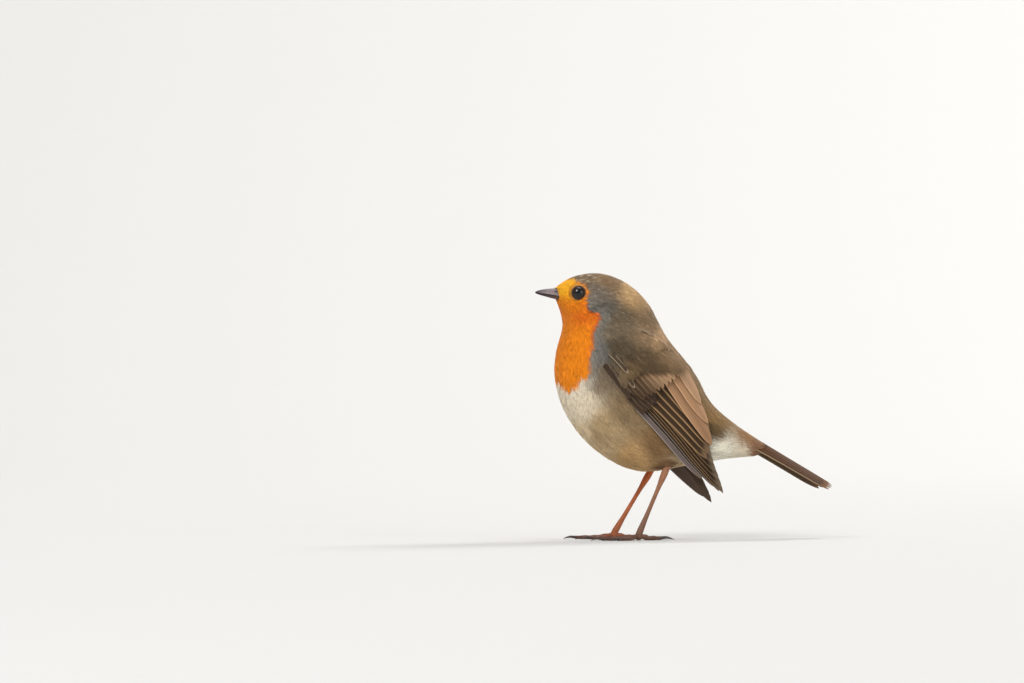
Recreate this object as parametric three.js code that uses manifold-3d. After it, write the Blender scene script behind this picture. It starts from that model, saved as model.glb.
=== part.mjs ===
// A European robin standing at rest, life size, in millimetres. +Z is up, the bird faces -X, and its feet
// stand on z = 0. The left side is at -Y. The body is one loft of oval sections parted with thin cuts, and
// every other piece is made against that loft: the wings lie on it, and the tail, bill and legs come out of it.
import * as THREE from "three";
import { LoftGeometry } from "three/addons/geometries/LoftGeometry.js";
import { mergeVertices } from "three/addons/utils/BufferGeometryUtils.js";
import Module from "manifold-3d";

const wasm = await Module();
wasm.setup();

// ---------------------------------------------------------------- driving dimensions, in millimetres

const GAP = 0.3; // between neighbouring pieces
const CENTRE_SHIFT = 0.85; // moves the whole bird along X, so that its box is centred on the origin

// The body, from the bill's root to the root of the tail: the outline along the back and along the front,
// each as [x, z], and half the width there.
const BODY = [
  { back: [-48.6, 91.3], front: [-47.9, 87.2], half: 2.4 },
  { back: [-46.4, 93.5], front: [-46.7, 84.9], half: 5.0 },
  { back: [-40.8, 96.0], front: [-45.0, 80.9], half: 9.0 },
  { back: [-30.9, 96.9], front: [-44.5, 76.3], half: 11.3 },
  { back: [-21.3, 93.2], front: [-46.8, 69.7], half: 12.8 },
  { back: [-13.7, 85.2], front: [-47.8, 60.2], half: 15.6 },
  { back: [-6.5, 73.2], front: [-44.2, 46.7], half: 18.4 },
  { back: [2.1, 61.2], front: [-33.8, 33.3], half: 19.0 },
  { back: [9.1, 50.3], front: [-17.4, 24.8], half: 16.4 },
  { back: [17.4, 43.1], front: [1.5, 27.0], half: 11.0 },
  { back: [25.4, 37.6], front: [16.2, 29.4], half: 7.2 },
  { back: [31.0, 34.1], front: [27.0, 30.2], half: 4.8 },
];
const BODY_SECTIONS = 30;
const BODY_SIDES = 22;
const FULLNESS = 2.25; // 2 is an ellipse, and more fills its corners

// The head is turned a little to the left about an upright axis in the neck.
const HEAD_TURN = THREE.MathUtils.degToRad(8);
const HEAD_PIVOT_X = -30;
const TURN_FROM_Z = 70; // below this nothing turns
const TURN_TO_Z = 85; // above this the whole turn applies

const EYE = { x: -42.3, z: 89.7, depth: 1.75, radius: 2.6 }; // depth: of its centre below the face

// The bill, from under the face feathers to its tip.
const BILL = [
  { x: -46.4, top: 91.1, mouth: 88.1, bottom: 87.2, half: 2.3 },
  { x: -49.2, top: 91.3, mouth: 88.7, bottom: 87.7, half: 1.75 },
  { x: -52.4, top: 91.1, mouth: 89.3, bottom: 88.5, half: 1.15 },
  { x: -55.1, top: 90.6, mouth: 89.7, bottom: 89.25, half: 0.6 },
  { x: -56.2, top: 90.2, mouth: 89.95, bottom: 89.6, half: 0.25 },
];
const BILL_SIDES = 10;
const MOUTH_GAP = 0.14; // half of the gap between the two halves of the bill

// The folded wing as seen from the side, [x, z] of each feather's root and tip. A group's feathers run from
// the leading edge to the trailing one.
const WING_JOINT = [-34.5, 71.6]; // the bend at the front of the folded wing
const RIGHT_DROOP = 0.052; // how much lower the right wing is held, per millimetre from its bend
const PRIMARIES = [
  { root: [-25.2, 53.0], tip: [4.4, 22.0] },
  { root: [-26.0, 54.8], tip: [8.5, 19.5] },
  { root: [-25.4, 55.8], tip: [11.1, 17.6] },
  { root: [-24.8, 56.8], tip: [12.7, 16.9] },
  { root: [-24.2, 57.8], tip: [12.0, 18.6] },
  { root: [-23.6, 58.6], tip: [10.7, 21.5] },
  { root: [-23.0, 59.4], tip: [9.4, 24.4] },
  { root: [-22.4, 60.2], tip: [8.3, 27.3] },
  { root: [-21.8, 61.0], tip: [7.4, 30.0] },
];
const SECONDARIES = [
  { root: [-23.8, 57.4], tip: [5.6, 29.4] },
  { root: [-21.8, 59.2], tip: [6.2, 31.4] },
  { root: [-19.8, 61.0], tip: [6.4, 33.8] },
  { root: [-17.8, 62.8], tip: [6.2, 36.2] },
  { root: [-15.8, 64.4], tip: [5.6, 38.8] },
  { root: [-13.8, 65.6], tip: [4.8, 41.4] },
];
const TERTIALS = [
  { root: [-13.6, 63.4], tip: [7.0, 34.2] },
  { root: [-10.6, 65.4], tip: [5.0, 41.6] },
  { root: [-8.0, 66.6], tip: [2.6, 48.6] },
];
// The coverts over the flight feathers' roots, as rows from the wing's bend to the tips of the great coverts:
// the leading and the trailing end of each row.
const COVERTS = [
  { lead: [-34.5, 71.0], trail: [-32.0, 75.2] },
  { lead: [-33.0, 67.2], trail: [-25.4, 77.4] },
  { lead: [-30.8, 62.0], trail: [-17.6, 76.0] },
  { lead: [-28.4, 56.9], trail: [-10.8, 71.6] },
  { lead: [-25.0, 52.0], trail: [-6.2, 64.6] },
  { lead: [-20.6, 49.2], trail: [-4.4, 58.6] },
];
const FEATHER_STEPS = 5;
const EDGE_PLACE = 0.35; // where a feather's edge is, as a share of the way to its neighbour
const PLATE = 0.6; // thickness of a group of flight feathers
const SHINGLE = 0.05; // each feather lies this much further out than the one before it
const LAYER = { primaries: 0.35, secondaries: 1.7, tertials: 3.05 }; // from the body to each group
const COVERT_THICKNESS = 0.9;
// Where the wing is clear of the body: its distance from the middle plane at its tip, and how that grows up
// the wing and falls off again.
const WING_TIP = [12.7, 16.9];
const FREE_WING = { tipY: 8.0, rise: 0.33, fall: 0.0044 };
const WING_BLEND = 2.5; // over about this much the wing goes from lying on the body to standing free

// The closed tail: a shallow arch of feathers, the middle pair on top.
const TAIL = { root: [25.6, 36.6], tip: [53.8, 20.0], rootHalf: 4.4, tipHalf: 8.6, arch: 2.9, notch: 1.6 };
const TAIL_PAIRS = 6;
const TAIL_PLATE = 1.1;
const TAIL_EDGE = 0.3; // how far the outermost feather's sharp edge stands out

// Each leg: the hock, the joint over the toes, and the way the middle toe points, in degrees outwards.
const LEGS = {
  left: { side: -1, hock: [-8.3, 9.6, 26.6], ankle: [-19.2, 10.8, 2.1], heading: 9 },
  right: { side: 1, hock: [-9.9, 9.4, 25.2], ankle: [-23.7, 10.4, 2.1], heading: 6 },
};
const THIGH = { rise: 10, out: 1.6, radii: [4.4, 3.0, 1.4] }; // it runs up and out into the flank
const SHANK = { hock: 1.12, middle: 0.72, ankle: 0.95 }; // radii of the bare leg
const TOES = [
  { name: "hind", turn: 180, length: 8.6, radius: 0.95, claw: 5.2 },
  { name: "inner", turn: -27, length: 10.6, radius: 0.78, claw: 3.6 },
  { name: "middle", turn: 0, length: 14.2, radius: 0.85, claw: 4.2 },
  { name: "outer", turn: 26, length: 11.2, radius: 0.78, claw: 3.5 },
];
const TOE_ROOT = 4.5; // where each toe parts from the foot, so that neighbours stay clear of each other
const TOE_SIDES = 8;
const SOLE_CUT = 0.16; // how deep the floor cuts into a toe's pads, to leave a small flat

// ---------------------------------------------------------------- materials

const finish = (color, roughness) => new THREE.MeshStandardMaterial({ color, roughness, metalness: 0 });
const MATERIALS = {
  face: finish(0xd9762a, 0.85),
  breast: finish(0xdb7220, 0.85),
  belly: finish(0xcfc0a6, 0.88),
  back: finish(0x7c6750, 0.85),
  rump: finish(0x80694c, 0.85),
  undertail: finish(0xe4dccb, 0.88),
  coverts: finish(0x6d5a45, 0.8),
  flight: finish(0x5a4736, 0.7),
  tail: finish(0x7a5a42, 0.7),
  thigh: finish(0x6a5238, 0.88),
  leg: finish(0xb06a3c, 0.5),
  foot: finish(0x6a4a3c, 0.55),
  claw: finish(0x4a3c34, 0.35),
  bill: finish(0x3b3436, 0.35),
  eye: finish(0x0c0a09, 0.08),
};

// ---------------------------------------------------------------- solids and meshes

const solidOf = ({ attributes, index }) => {
  const bare = new THREE.BufferGeometry().setAttribute("position", attributes.position).setIndex(index);
  const merged = mergeVertices(bare, 1e-4);
  const corners = merged.index.array;
  const kept = [];
  for (let i = 0; i < corners.length; i += 3) {
    const [a, b, c] = corners.slice(i, i + 3);
    if (a !== b && b !== c && c !== a) kept.push(a, b, c);
  }
  return new wasm.Manifold(
    new wasm.Mesh({
      numProp: 3,
      vertProperties: merged.attributes.position.array,
      triVerts: new Uint32Array(kept),
    }),
  );
};

const geometryOf = (solid) => {
  const { numProp, numVert, vertProperties, triVerts } = solid.getMesh();
  const positions = new Float32Array(numVert * 3);
  for (let i = 0; i < numVert; i++) {
    positions.set(vertProperties.subarray(i * numProp, i * numProp + 3), i * 3);
  }
  const geometry = new THREE.BufferGeometry();
  geometry.setAttribute("position", new THREE.BufferAttribute(positions, 3));
  geometry.setIndex(new THREE.BufferAttribute(triVerts, 1));
  geometry.computeVertexNormals();
  return geometry;
};

const meshOf = (name, solid, material) => {
  const mesh = new THREE.Mesh(geometryOf(solid), material);
  mesh.name = name;
  return mesh;
};

// A closed loft, with its sections turned to wind the right way round. It needs no cap at its end if it ends
// in a sharp edge.
const loft = (sections, capEnd = true) => {
  const centre = (ring) => ring.reduce((sum, p) => sum.add(p), new THREE.Vector3()).divideScalar(ring.length);
  const from = centre(sections[0]);
  const facing = new THREE.Vector3();
  sections[0].forEach((p, i) => {
    const q = sections[0][(i + 1) % sections[0].length];
    facing.add(new THREE.Vector3().crossVectors(p.clone().sub(from), q.clone().sub(from)));
  });
  const inwards = facing.dot(centre(sections[1]).sub(from)) < 0;
  const rings = inwards ? sections.map((ring) => ring.slice().reverse()) : sections;
  return solidOf(new LoftGeometry(rings, { capStart: true, capEnd }));
};

const curveThrough = (points) => {
  const vectors = points.map(([x, y, z = 0]) => new THREE.Vector3(x, y, z));
  return new THREE.CatmullRomCurve3(vectors, false, "centripetal");
};

const mix = (a, b, share) => a + (b - a) * share;

// ---------------------------------------------------------------- the body

const backLine = curveThrough(BODY.map(({ back }) => back));
const frontLine = curveThrough(BODY.map(({ front }) => front));
const halfWidths = curveThrough(BODY.map(({ half }, i) => [i, half]));

const turnHead = (point) => {
  const share = THREE.MathUtils.smoothstep(point.z, TURN_FROM_Z, TURN_TO_Z);
  const pivot = new THREE.Vector3(HEAD_PIVOT_X, 0, 0);
  return point.sub(pivot).applyAxisAngle(new THREE.Vector3(0, 0, 1), HEAD_TURN * share).add(pivot);
};

// The straight line across the body, from its back to its front, at a share of the way to the tail.
const crossLine = (share) => {
  const back = backLine.getPoint(share);
  const front = frontLine.getPoint(share);
  return { back, front, half: halfWidths.getPoint(share).y };
};

const oval = (angle) => {
  const rounded = (value) => Math.sign(value) * Math.abs(value) ** (2 / FULLNESS);
  return [rounded(Math.cos(angle)), rounded(Math.sin(angle))];
};

// The whole body, grown on all sides by a clearance where its neighbours are to be cut by it.
const bodyLoft = (clearance = 0) => {
  const sections = [];
  for (let i = 0; i <= BODY_SECTIONS; i++) {
    const { back, front, half } = crossLine(i / BODY_SECTIONS);
    const middle = back.clone().add(front).multiplyScalar(0.5);
    const toBack = back.clone().sub(middle);
    toBack.setLength(toBack.length() + clearance);
    const ring = [];
    for (let j = 0; j < BODY_SIDES; j++) {
      const [depth, side] = oval((j / BODY_SIDES) * 2 * Math.PI);
      const x = middle.x + toBack.x * depth;
      const z = middle.y + toBack.y * depth;
      ring.push(turnHead(new THREE.Vector3(x, side * (half + clearance), z)));
    }
    sections.push(ring);
  }
  if (clearance) {
    // The end caps move out too.
    const push = (ring, towards) => {
      const from = ring.reduce((sum, p) => sum.add(p), new THREE.Vector3()).divideScalar(ring.length);
      const away = from.clone().sub(towards).setLength(clearance);
      ring.forEach((p) => p.add(away));
    };
    push(sections[0], sections[1][0].clone().add(sections[1][BODY_SIDES / 2]).multiplyScalar(0.5));
    const before = sections[BODY_SECTIONS - 1];
    push(sections[BODY_SECTIONS], before[0].clone().add(before[BODY_SIDES / 2]).multiplyScalar(0.5));
  }
  return loft(sections);
};

// Half the body's width at a place seen from the side, or 0 beyond its outline.
const SEARCH_STEPS = 120;
const bodyHalfAt = (x, z) => {
  let before = null;
  for (let i = 0; i <= SEARCH_STEPS; i++) {
    const { back, front, half } = crossLine(i / SEARCH_STEPS);
    const across = front.clone().sub(back);
    const ahead = across.x * (z - back.y) - across.y * (x - back.x);
    const depth = (across.x * (x - back.x) + across.y * (z - back.y)) / across.lengthSq();
    if (before && before.ahead * ahead <= 0 && depth > -0.2 && depth < 1.2) {
      const share = before.ahead / (before.ahead - ahead || 1);
      const place = Math.abs(2 * mix(before.depth, depth, share) - 1);
      return place < 1 ? mix(before.half, half, share) * (1 - place ** FULLNESS) ** (1 / FULLNESS) : 0;
    }
    before = { ahead, depth, half };
  }
  return 0;
};

// Parts a solid along a plane across the bird, given as two places on it seen from the side. The first of
// the two pieces is the one on the left of the way from one place to the other.
const part = (solid, [from, to]) => {
  const along = new THREE.Vector2(to[0] - from[0], to[1] - from[1]).normalize();
  const normal = [-along.y, 0, along.x];
  const offset = normal[0] * from[0] + normal[2] * from[1];
  const opposite = normal.map((value) => -value);
  return [solid.trimByPlane(normal, offset + GAP / 2), solid.trimByPlane(opposite, GAP / 2 - offset)];
};

const eyeBall = (side, clearance = 0) => {
  const ball = new THREE.SphereGeometry(EYE.radius + clearance, 12, 8);
  const centreY = bodyHalfAt(EYE.x, EYE.z) - EYE.depth;
  const centre = turnHead(new THREE.Vector3(EYE.x, side * centreY, EYE.z));
  ball.translate(centre.x, centre.y, centre.z);
  return solidOf(ball);
};

// The planes that part the body.
const HEAD_PLANE = [[-47, 77.5], [-12, 87.5]];
const NECK_PLANE = [[-50, 64], [-5, 75.5]];
const RUMP_PLANE = [[0, 23], [14, 48]];
const UNDERTAIL_PLANE = [[0, 35.5], [32, 32]];
const BACK_PLANE = [[-36, 74], [8, 32]];
const BREAST_PLANE = [[-50, 44], [-14, 52]];

const makeBody = () => {
  let body = bodyLoft();
  for (const side of [-1, 1]) body = body.subtract(eyeBall(side, GAP));
  return body;
};

// ---------------------------------------------------------------- the wings

// Where the wing rests at a place seen from the side: on the body, or in the air behind and below it.
const wingRest = (x, z) => {
  const body = bodyHalfAt(x, z);
  const away = Math.hypot(x - WING_TIP[0], z - WING_TIP[1]);
  const free = FREE_WING.tipY + FREE_WING.rise * away - FREE_WING.fall * away ** 2;
  return (body + free + Math.hypot(body - free, WING_BLEND)) / 2;
};

// Lets a place on the wing down by the wing's droop.
const drooped = ([x, z], droop) => [x, z - droop * Math.hypot(x - WING_JOINT[0], z - WING_JOINT[1])];

// The line of a place between two neighbouring feathers, or just past the last one.
const lineBetween = (feathers, place) => {
  const i = THREE.MathUtils.clamp(Math.floor(place), 0, feathers.length - 2);
  const share = place - i;
  const [near, far] = [feathers[i], feathers[i + 1]];
  return {
    root: [mix(near.root[0], far.root[0], share), mix(near.root[1], far.root[1], share)],
    tip: [mix(near.tip[0], far.tip[0], share), mix(near.tip[1], far.tip[1], share)],
  };
};

// A group of flight feathers as one plate with stepped tips: sections run along the feathers, three to each.
const featherGroup = (feathers, layer, side, droop) => {
  const sections = [];
  feathers.forEach((feather, i) => {
    for (const [across, reach] of [[-EDGE_PLACE, 0.97], [0, 1], [EDGE_PLACE, 0.98]]) {
      const { root, tip } = lineBetween(feathers, i + across);
      const outer = [];
      const inner = [];
      for (let j = 0; j <= FEATHER_STEPS; j++) {
        const share = (j / FEATHER_STEPS) * reach;
        const [x, z] = drooped([mix(root[0], tip[0], share), mix(root[1], tip[1], share)], droop);
        const base = wingRest(x, z) + layer + SHINGLE * i;
        inner.push(new THREE.Vector3(x, side * base, z));
        outer.push(new THREE.Vector3(x, side * (base + PLATE), z));
      }
      sections.push([...outer, ...inner.reverse()]);
    }
  });
  return loft(sections);
};

// The coverts: a domed plate over the roots of the flight feathers, thin at its front edge.
const COVERT_STEPS = 8;
const COVERT_SIDES = 5;
const covertPlate = (side, droop) => {
  const leads = curveThrough(COVERTS.map(({ lead }) => lead));
  const trails = curveThrough(COVERTS.map(({ trail }) => trail));
  const sections = [];
  for (let i = 0; i <= COVERT_STEPS; i++) {
    const share = i / COVERT_STEPS;
    const lead = leads.getPoint(share);
    const trail = trails.getPoint(share);
    const outer = [];
    const inner = [];
    for (let j = 0; j <= COVERT_SIDES; j++) {
      const across = j / COVERT_SIDES;
      const [x, z] = drooped([mix(lead.x, trail.x, across), mix(lead.y, trail.y, across)], droop);
      const lift = mix(GAP, LAYER.tertials + PLATE + 2 * GAP, THREE.MathUtils.smoothstep(share, 0.2, 0.72));
      const dome = Math.sin(Math.PI * mix(0.12, 0.88, across)) * Math.sin(Math.PI * mix(0.14, 0.8, share));
      const base = wingRest(x, z) + lift;
      inner.push(new THREE.Vector3(x, side * base, z));
      outer.push(new THREE.Vector3(x, side * (base + 0.5 + COVERT_THICKNESS * dome), z));
    }
    sections.push([...outer, ...inner.reverse()]);
  }
  return loft(sections);
};

const makeWing = (name, side, droop) => [
  meshOf(`wing_${name}_coverts`, covertPlate(side, droop), MATERIALS.coverts),
  meshOf(`wing_${name}_primaries`, featherGroup(PRIMARIES, LAYER.primaries, side, droop), MATERIALS.flight),
  meshOf(
    `wing_${name}_secondaries`,
    featherGroup(SECONDARIES, LAYER.secondaries, side, droop),
    MATERIALS.flight,
  ),
  meshOf(`wing_${name}_tertials`, featherGroup(TERTIALS, LAYER.tertials, side, droop), MATERIALS.coverts),
];

// ---------------------------------------------------------------- the tail

// One half of the closed tail, from the middle out: each feather ends a little further back than the
// middle pair, which leaves a shallow notch, and lies lower along the arch.
const makeTailHalf = (side) => {
  const sections = [];
  const last = TAIL_PAIRS * 2 - 1;
  const slope = Math.atan2(TAIL.tip[1] - TAIL.root[1], TAIL.tip[0] - TAIL.root[0]);
  for (let i = 0; i <= last; i++) {
    const feather = Math.floor(i / 2);
    const across = (Math.ceil(i / 2) + (i % 2 ? -0.04 : 0.04)) / TAIL_PAIRS;
    const reach = 1 + (TAIL.notch / 36) * (Math.sin((Math.PI * (feather + 0.5)) / TAIL_PAIRS) - 0.4);
    const top = [];
    const under = [];
    for (let j = 0; j <= FEATHER_STEPS; j++) {
      const share = (j / FEATHER_STEPS) * reach;
      const half = mix(TAIL.rootHalf, TAIL.tipHalf, Math.sqrt(share));
      const drop = TAIL.arch * across ** 2 + 0.05 * feather;
      const x = mix(TAIL.root[0], TAIL.tip[0], share) + drop * Math.sin(slope);
      const z = mix(TAIL.root[1], TAIL.tip[1], share) - drop * Math.cos(slope);
      const y = side * (GAP / 2 + across * half);
      const thin = TAIL_PLATE * mix(1, 0.55, share) * mix(1, 0.7, across);
      top.push(new THREE.Vector3(x, y, z));
      under.push(new THREE.Vector3(x + thin * Math.sin(slope), y, z - thin * Math.cos(slope)));
    }
    sections.push([...top, ...under.reverse()]);
  }
  // The outermost feather ends in a sharp edge.
  const outermost = sections[last];
  const edge = outermost.map((p, k) => p.clone().lerp(outermost[outermost.length - 1 - k], 0.5));
  sections.push(edge.map((p) => p.add(new THREE.Vector3(0, side * TAIL_EDGE, 0))));
  return loft(sections, false);
};

// ---------------------------------------------------------------- the bill

// One half of the bill: rounded away from the mouth and flat at it.
const makeBillHalf = (upper) => {
  const sections = BILL.map(({ x, top, mouth, bottom, half }) => {
    const edge = upper ? mouth + MOUTH_GAP : mouth - MOUTH_GAP;
    const rise = upper ? Math.max(top - edge, 0.12) : Math.min(bottom - edge, -0.12);
    const ring = [];
    for (let j = 0; j < BILL_SIDES; j++) {
      const angle = (j / (BILL_SIDES - 1)) * Math.PI;
      const y = Math.cos(angle) * half;
      ring.push(turnHead(new THREE.Vector3(x, y, edge + Math.sin(angle) ** 0.8 * rise)));
    }
    return ring;
  });
  return loft(sections);
};

// ---------------------------------------------------------------- the legs

// A round bar along a path of points, with a radius at each of them.
const taperedBar = (points, radii, sides, from = 0, to = 1, steps = 8) => {
  const path = new THREE.CatmullRomCurve3(points, false, "centripetal");
  const sizes = curveThrough(radii.map((radius, i) => [i, radius]));
  const up = new THREE.Vector3(0, 0, 1);
  const sections = [];
  for (let i = 0; i <= steps; i++) {
    const share = mix(from, to, i / steps);
    const centre = path.getPointAt(share);
    const ahead = path.getTangentAt(share);
    const across = new THREE.Vector3().crossVectors(ahead, up).normalize();
    const over = new THREE.Vector3().crossVectors(across, ahead);
    const radius = sizes.getPoint(share).y;
    const ring = [];
    for (let j = 0; j < sides; j++) {
      const angle = ((j + 0.5) / sides) * 2 * Math.PI;
      const point = centre.clone().addScaledVector(across, Math.cos(angle) * radius);
      ring.push(point.addScaledVector(over, Math.sin(angle) * radius));
    }
    sections.push(ring);
  }
  return loft(sections);
};

const floorBlock = () => {
  const block = new THREE.BoxGeometry(200, 200, 20);
  block.translate(0, 0, -10);
  return solidOf(block);
};

const vectorOf = (side, [x, y, z]) => new THREE.Vector3(x, side * y, z);

// A toe's centre line on the floor, from the joint over the foot to the root of its claw.
const toePath = (ankle, heading, { length, radius }) => {
  const ahead = new THREE.Vector3(Math.cos(heading), Math.sin(heading), 0);
  const low = radius - SOLE_CUT;
  const along = (distance, z) => ankle.clone().addScaledVector(ahead, distance).setZ(z);
  return [
    along(0, 1.75),
    along(2.2, 1.25),
    along(length * 0.45, low * 1.04),
    along(length * 0.72, low * 0.98),
    along(length, low * 0.92),
  ];
};

const makeToe = (ankle, heading, toe, from, to) => {
  const radii = [1.0, 0.98, 1.0, 0.86, 0.8].map((share) => share * toe.radius);
  const steps = Math.ceil((to - from) * 5);
  return taperedBar(toePath(ankle, heading, toe), radii, TOE_SIDES, from, to, steps);
};

// A claw: a curved spike that leaves the toe's end, rises a little and comes down to the floor.
const makeClaw = (ankle, heading, { length, radius, claw }) => {
  const ahead = new THREE.Vector3(Math.cos(heading), Math.sin(heading), 0);
  const along = (share, z) =>
    ankle.clone().addScaledVector(ahead, length + GAP + claw * share).setZ(z);
  const points = [along(0, radius * 0.8), along(0.35, radius * 0.95), along(0.72, radius * 0.6)];
  points.push(along(0.94, 0.1));
  return taperedBar(points, [radius * 0.62, radius * 0.5, radius * 0.32, 0.16], 6, 0, 1, 5);
};

const makeLeg = (name, { side, hock, ankle, heading }, bodyRoom, floor) => {
  const hockAt = vectorOf(side, hock);
  const ankleAt = vectorOf(side, ankle);
  const hip = hockAt.clone().add(vectorOf(side, [-1.5, THIGH.out, THIGH.rise]));
  const thigh = taperedBar([hip, hockAt.clone().lerp(hip, 0.4), hockAt], THIGH.radii, 10);
  const down = ankleAt.clone().sub(hockAt).normalize();
  const shankTop = hockAt.clone().addScaledVector(down, GAP);
  const shankEnd = ankleAt.clone().addScaledVector(down, -GAP * 4);
  const middle = shankTop.clone().lerp(shankEnd, 0.5);
  const knuckle = shankTop.clone().lerp(shankEnd, 0.08);
  const shankPoints = [shankTop, knuckle, middle, shankEnd];
  const shankRadii = [SHANK.hock, SHANK.hock * 0.95, SHANK.middle, SHANK.ankle];
  const shank = taperedBar(shankPoints, shankRadii, 9);
  const shankRoomRadii = shankRadii.map((radius) => radius + GAP);
  const shankRoom = taperedBar([hockAt, knuckle, middle, shankEnd], shankRoomRadii, 9);

  const forward = Math.PI + THREE.MathUtils.degToRad(-side * heading);
  const headingOf = (toe) => forward - side * THREE.MathUtils.degToRad(toe.turn);
  const shareAt = (toe) => TOE_ROOT / toe.length;
  const knob = new THREE.SphereGeometry(1.35, 8, 5);
  knob.translate(ankleAt.x, ankleAt.y, 1.45);
  let foot = solidOf(knob);
  for (const toe of TOES) foot = foot.add(makeToe(ankleAt, headingOf(toe), toe, 0, shareAt(toe)));
  const collar = taperedBar([shankEnd.clone().addScaledVector(down, GAP), ankleAt], [0.95, 1.1], 8, 0, 1, 2);
  foot = foot.add(collar).subtract(floor);

  const meshes = [
    meshOf(`thigh_${name}`, thigh.subtract(bodyRoom).subtract(shankRoom), MATERIALS.thigh),
    meshOf(`shank_${name}`, shank, MATERIALS.leg),
    meshOf(`foot_${name}`, foot, MATERIALS.foot),
  ];
  for (const toe of TOES) {
    const gap = GAP / toe.length;
    const bar = makeToe(ankleAt, headingOf(toe), toe, shareAt(toe) + gap, 1).subtract(floor);
    meshes.push(meshOf(`toe_${name}_${toe.name}`, bar, MATERIALS.foot));
    const claw = makeClaw(ankleAt, headingOf(toe), toe).subtract(floor);
    meshes.push(meshOf(`claw_${name}_${toe.name}`, claw, MATERIALS.claw));
  }
  return meshes;
};

// ---------------------------------------------------------------- the bird

const robin = new THREE.Group();

const [head, belowHead] = part(makeBody(), HEAD_PLANE);
const [neck, belowNeck] = part(belowHead, NECK_PLANE);
const [trunk, tailBase] = part(belowNeck, RUMP_PLANE);
const [rump, undertail] = part(tailBase, UNDERTAIL_PLANE);
const [back, underside] = part(trunk, BACK_PLANE);
const [breast, belly] = part(underside, BREAST_PLANE);
robin.add(
  meshOf("head", head, MATERIALS.face),
  meshOf("neck", neck, MATERIALS.breast),
  meshOf("breast", breast, MATERIALS.breast),
  meshOf("belly", belly, MATERIALS.belly),
  meshOf("back", back, MATERIALS.back),
  meshOf("rump", rump, MATERIALS.rump),
  meshOf("undertail", undertail, MATERIALS.undertail),
);

const bodyRoom = bodyLoft(GAP);
const floor = floorBlock();
for (const [name, side] of [["left", -1], ["right", 1]]) {
  robin.add(meshOf(`eye_${name}`, eyeBall(side), MATERIALS.eye));
  robin.add(meshOf(`tail_${name}`, makeTailHalf(side).subtract(bodyRoom), MATERIALS.tail));
  robin.add(...makeLeg(name, LEGS[name], bodyRoom, floor));
}
robin.add(meshOf("bill_upper", makeBillHalf(true).subtract(bodyRoom), MATERIALS.bill));
robin.add(meshOf("bill_lower", makeBillHalf(false).subtract(bodyRoom), MATERIALS.bill));
robin.add(...makeWing("left", -1, 0));
robin.add(...makeWing("right", 1, RIGHT_DROOP));
robin.position.x = CENTRE_SHIFT;

export default robin;
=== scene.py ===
"""A European robin as a still, life-size model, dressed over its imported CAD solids.

Lengths are in millimetres until a mesh is made. The bird faces -X, its left side is at -Y and +Z is up.
"""
import math

import bpy
import numpy as np
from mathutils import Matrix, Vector
from mathutils.bvhtree import BVHTree


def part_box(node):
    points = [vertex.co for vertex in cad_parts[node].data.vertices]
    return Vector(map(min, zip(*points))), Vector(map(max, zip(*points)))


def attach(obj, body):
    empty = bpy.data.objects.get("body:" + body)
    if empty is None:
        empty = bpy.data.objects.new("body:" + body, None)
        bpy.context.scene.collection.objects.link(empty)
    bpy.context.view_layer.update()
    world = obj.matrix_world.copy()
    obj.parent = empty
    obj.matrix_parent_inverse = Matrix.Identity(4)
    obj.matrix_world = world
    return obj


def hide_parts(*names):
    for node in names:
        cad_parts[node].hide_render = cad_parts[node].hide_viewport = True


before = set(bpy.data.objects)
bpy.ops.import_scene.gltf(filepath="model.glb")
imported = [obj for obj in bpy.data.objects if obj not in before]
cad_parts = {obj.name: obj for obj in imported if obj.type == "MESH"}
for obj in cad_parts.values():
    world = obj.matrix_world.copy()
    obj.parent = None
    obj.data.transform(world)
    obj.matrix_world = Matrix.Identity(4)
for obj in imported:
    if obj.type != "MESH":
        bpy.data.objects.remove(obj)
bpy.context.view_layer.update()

MM = 0.001
SHIFT = 0.85  # how far the CAD moves the bird along X to centre its box
rng = np.random.default_rng(20261)

# ---------------------------------------------------------------- small helpers


def lerp(a, b, t):
    return a + (b - a) * t


def smoothstep(low, high, value):
    t = np.clip((value - low) / (high - low), 0.0, 1.0)
    return t * t * (3.0 - 2.0 * t)


def unit(vectors):
    return vectors / np.maximum(np.linalg.norm(vectors, axis=-1, keepdims=True), 1e-9)


def srgb(r, g, b):
    """A colour named by its 0 to 255 screen values, as linear light."""
    c = np.array([r, g, b], float) / 255.0
    return np.where(c <= 0.04045, c / 12.92, ((c + 0.055) / 1.055) ** 2.4)


def mixed(colour, tone, share):
    """A colour taken towards another by a share of its own at each place."""
    return lerp(colour, tone, np.asarray(share)[..., None])


def spot(at, centre, reach):
    """A soft oval patch: 1 at its centre and fading to 0."""
    return np.exp(-(((at - centre) / reach) ** 2).sum(axis=1))


def along_surface(ways, normals):
    """Directions without the part that points out of the surface."""
    return unit(ways - normals * np.einsum("ij,ij->i", ways, normals)[:, None])


def arrays_of(mesh):
    """A mesh's corners in millimetres and its triangles."""
    mesh.calc_loop_triangles()
    points = np.empty(len(mesh.vertices) * 3)
    mesh.vertices.foreach_get("co", points)
    faces = np.empty(len(mesh.loop_triangles) * 3, np.int32)
    mesh.loop_triangles.foreach_get("vertices", faces)
    return points.reshape(-1, 3) / MM, faces.reshape(-1, 3)


def mesh_of(name):
    return arrays_of(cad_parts[name].data)


def joined(parts):
    """Several (points, faces) meshes as one."""
    points, faces, start = [], [], 0
    for p, f in parts:
        points.append(p)
        faces.append(f + start)
        start += len(p)
    return np.concatenate(points), np.concatenate(faces)


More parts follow.
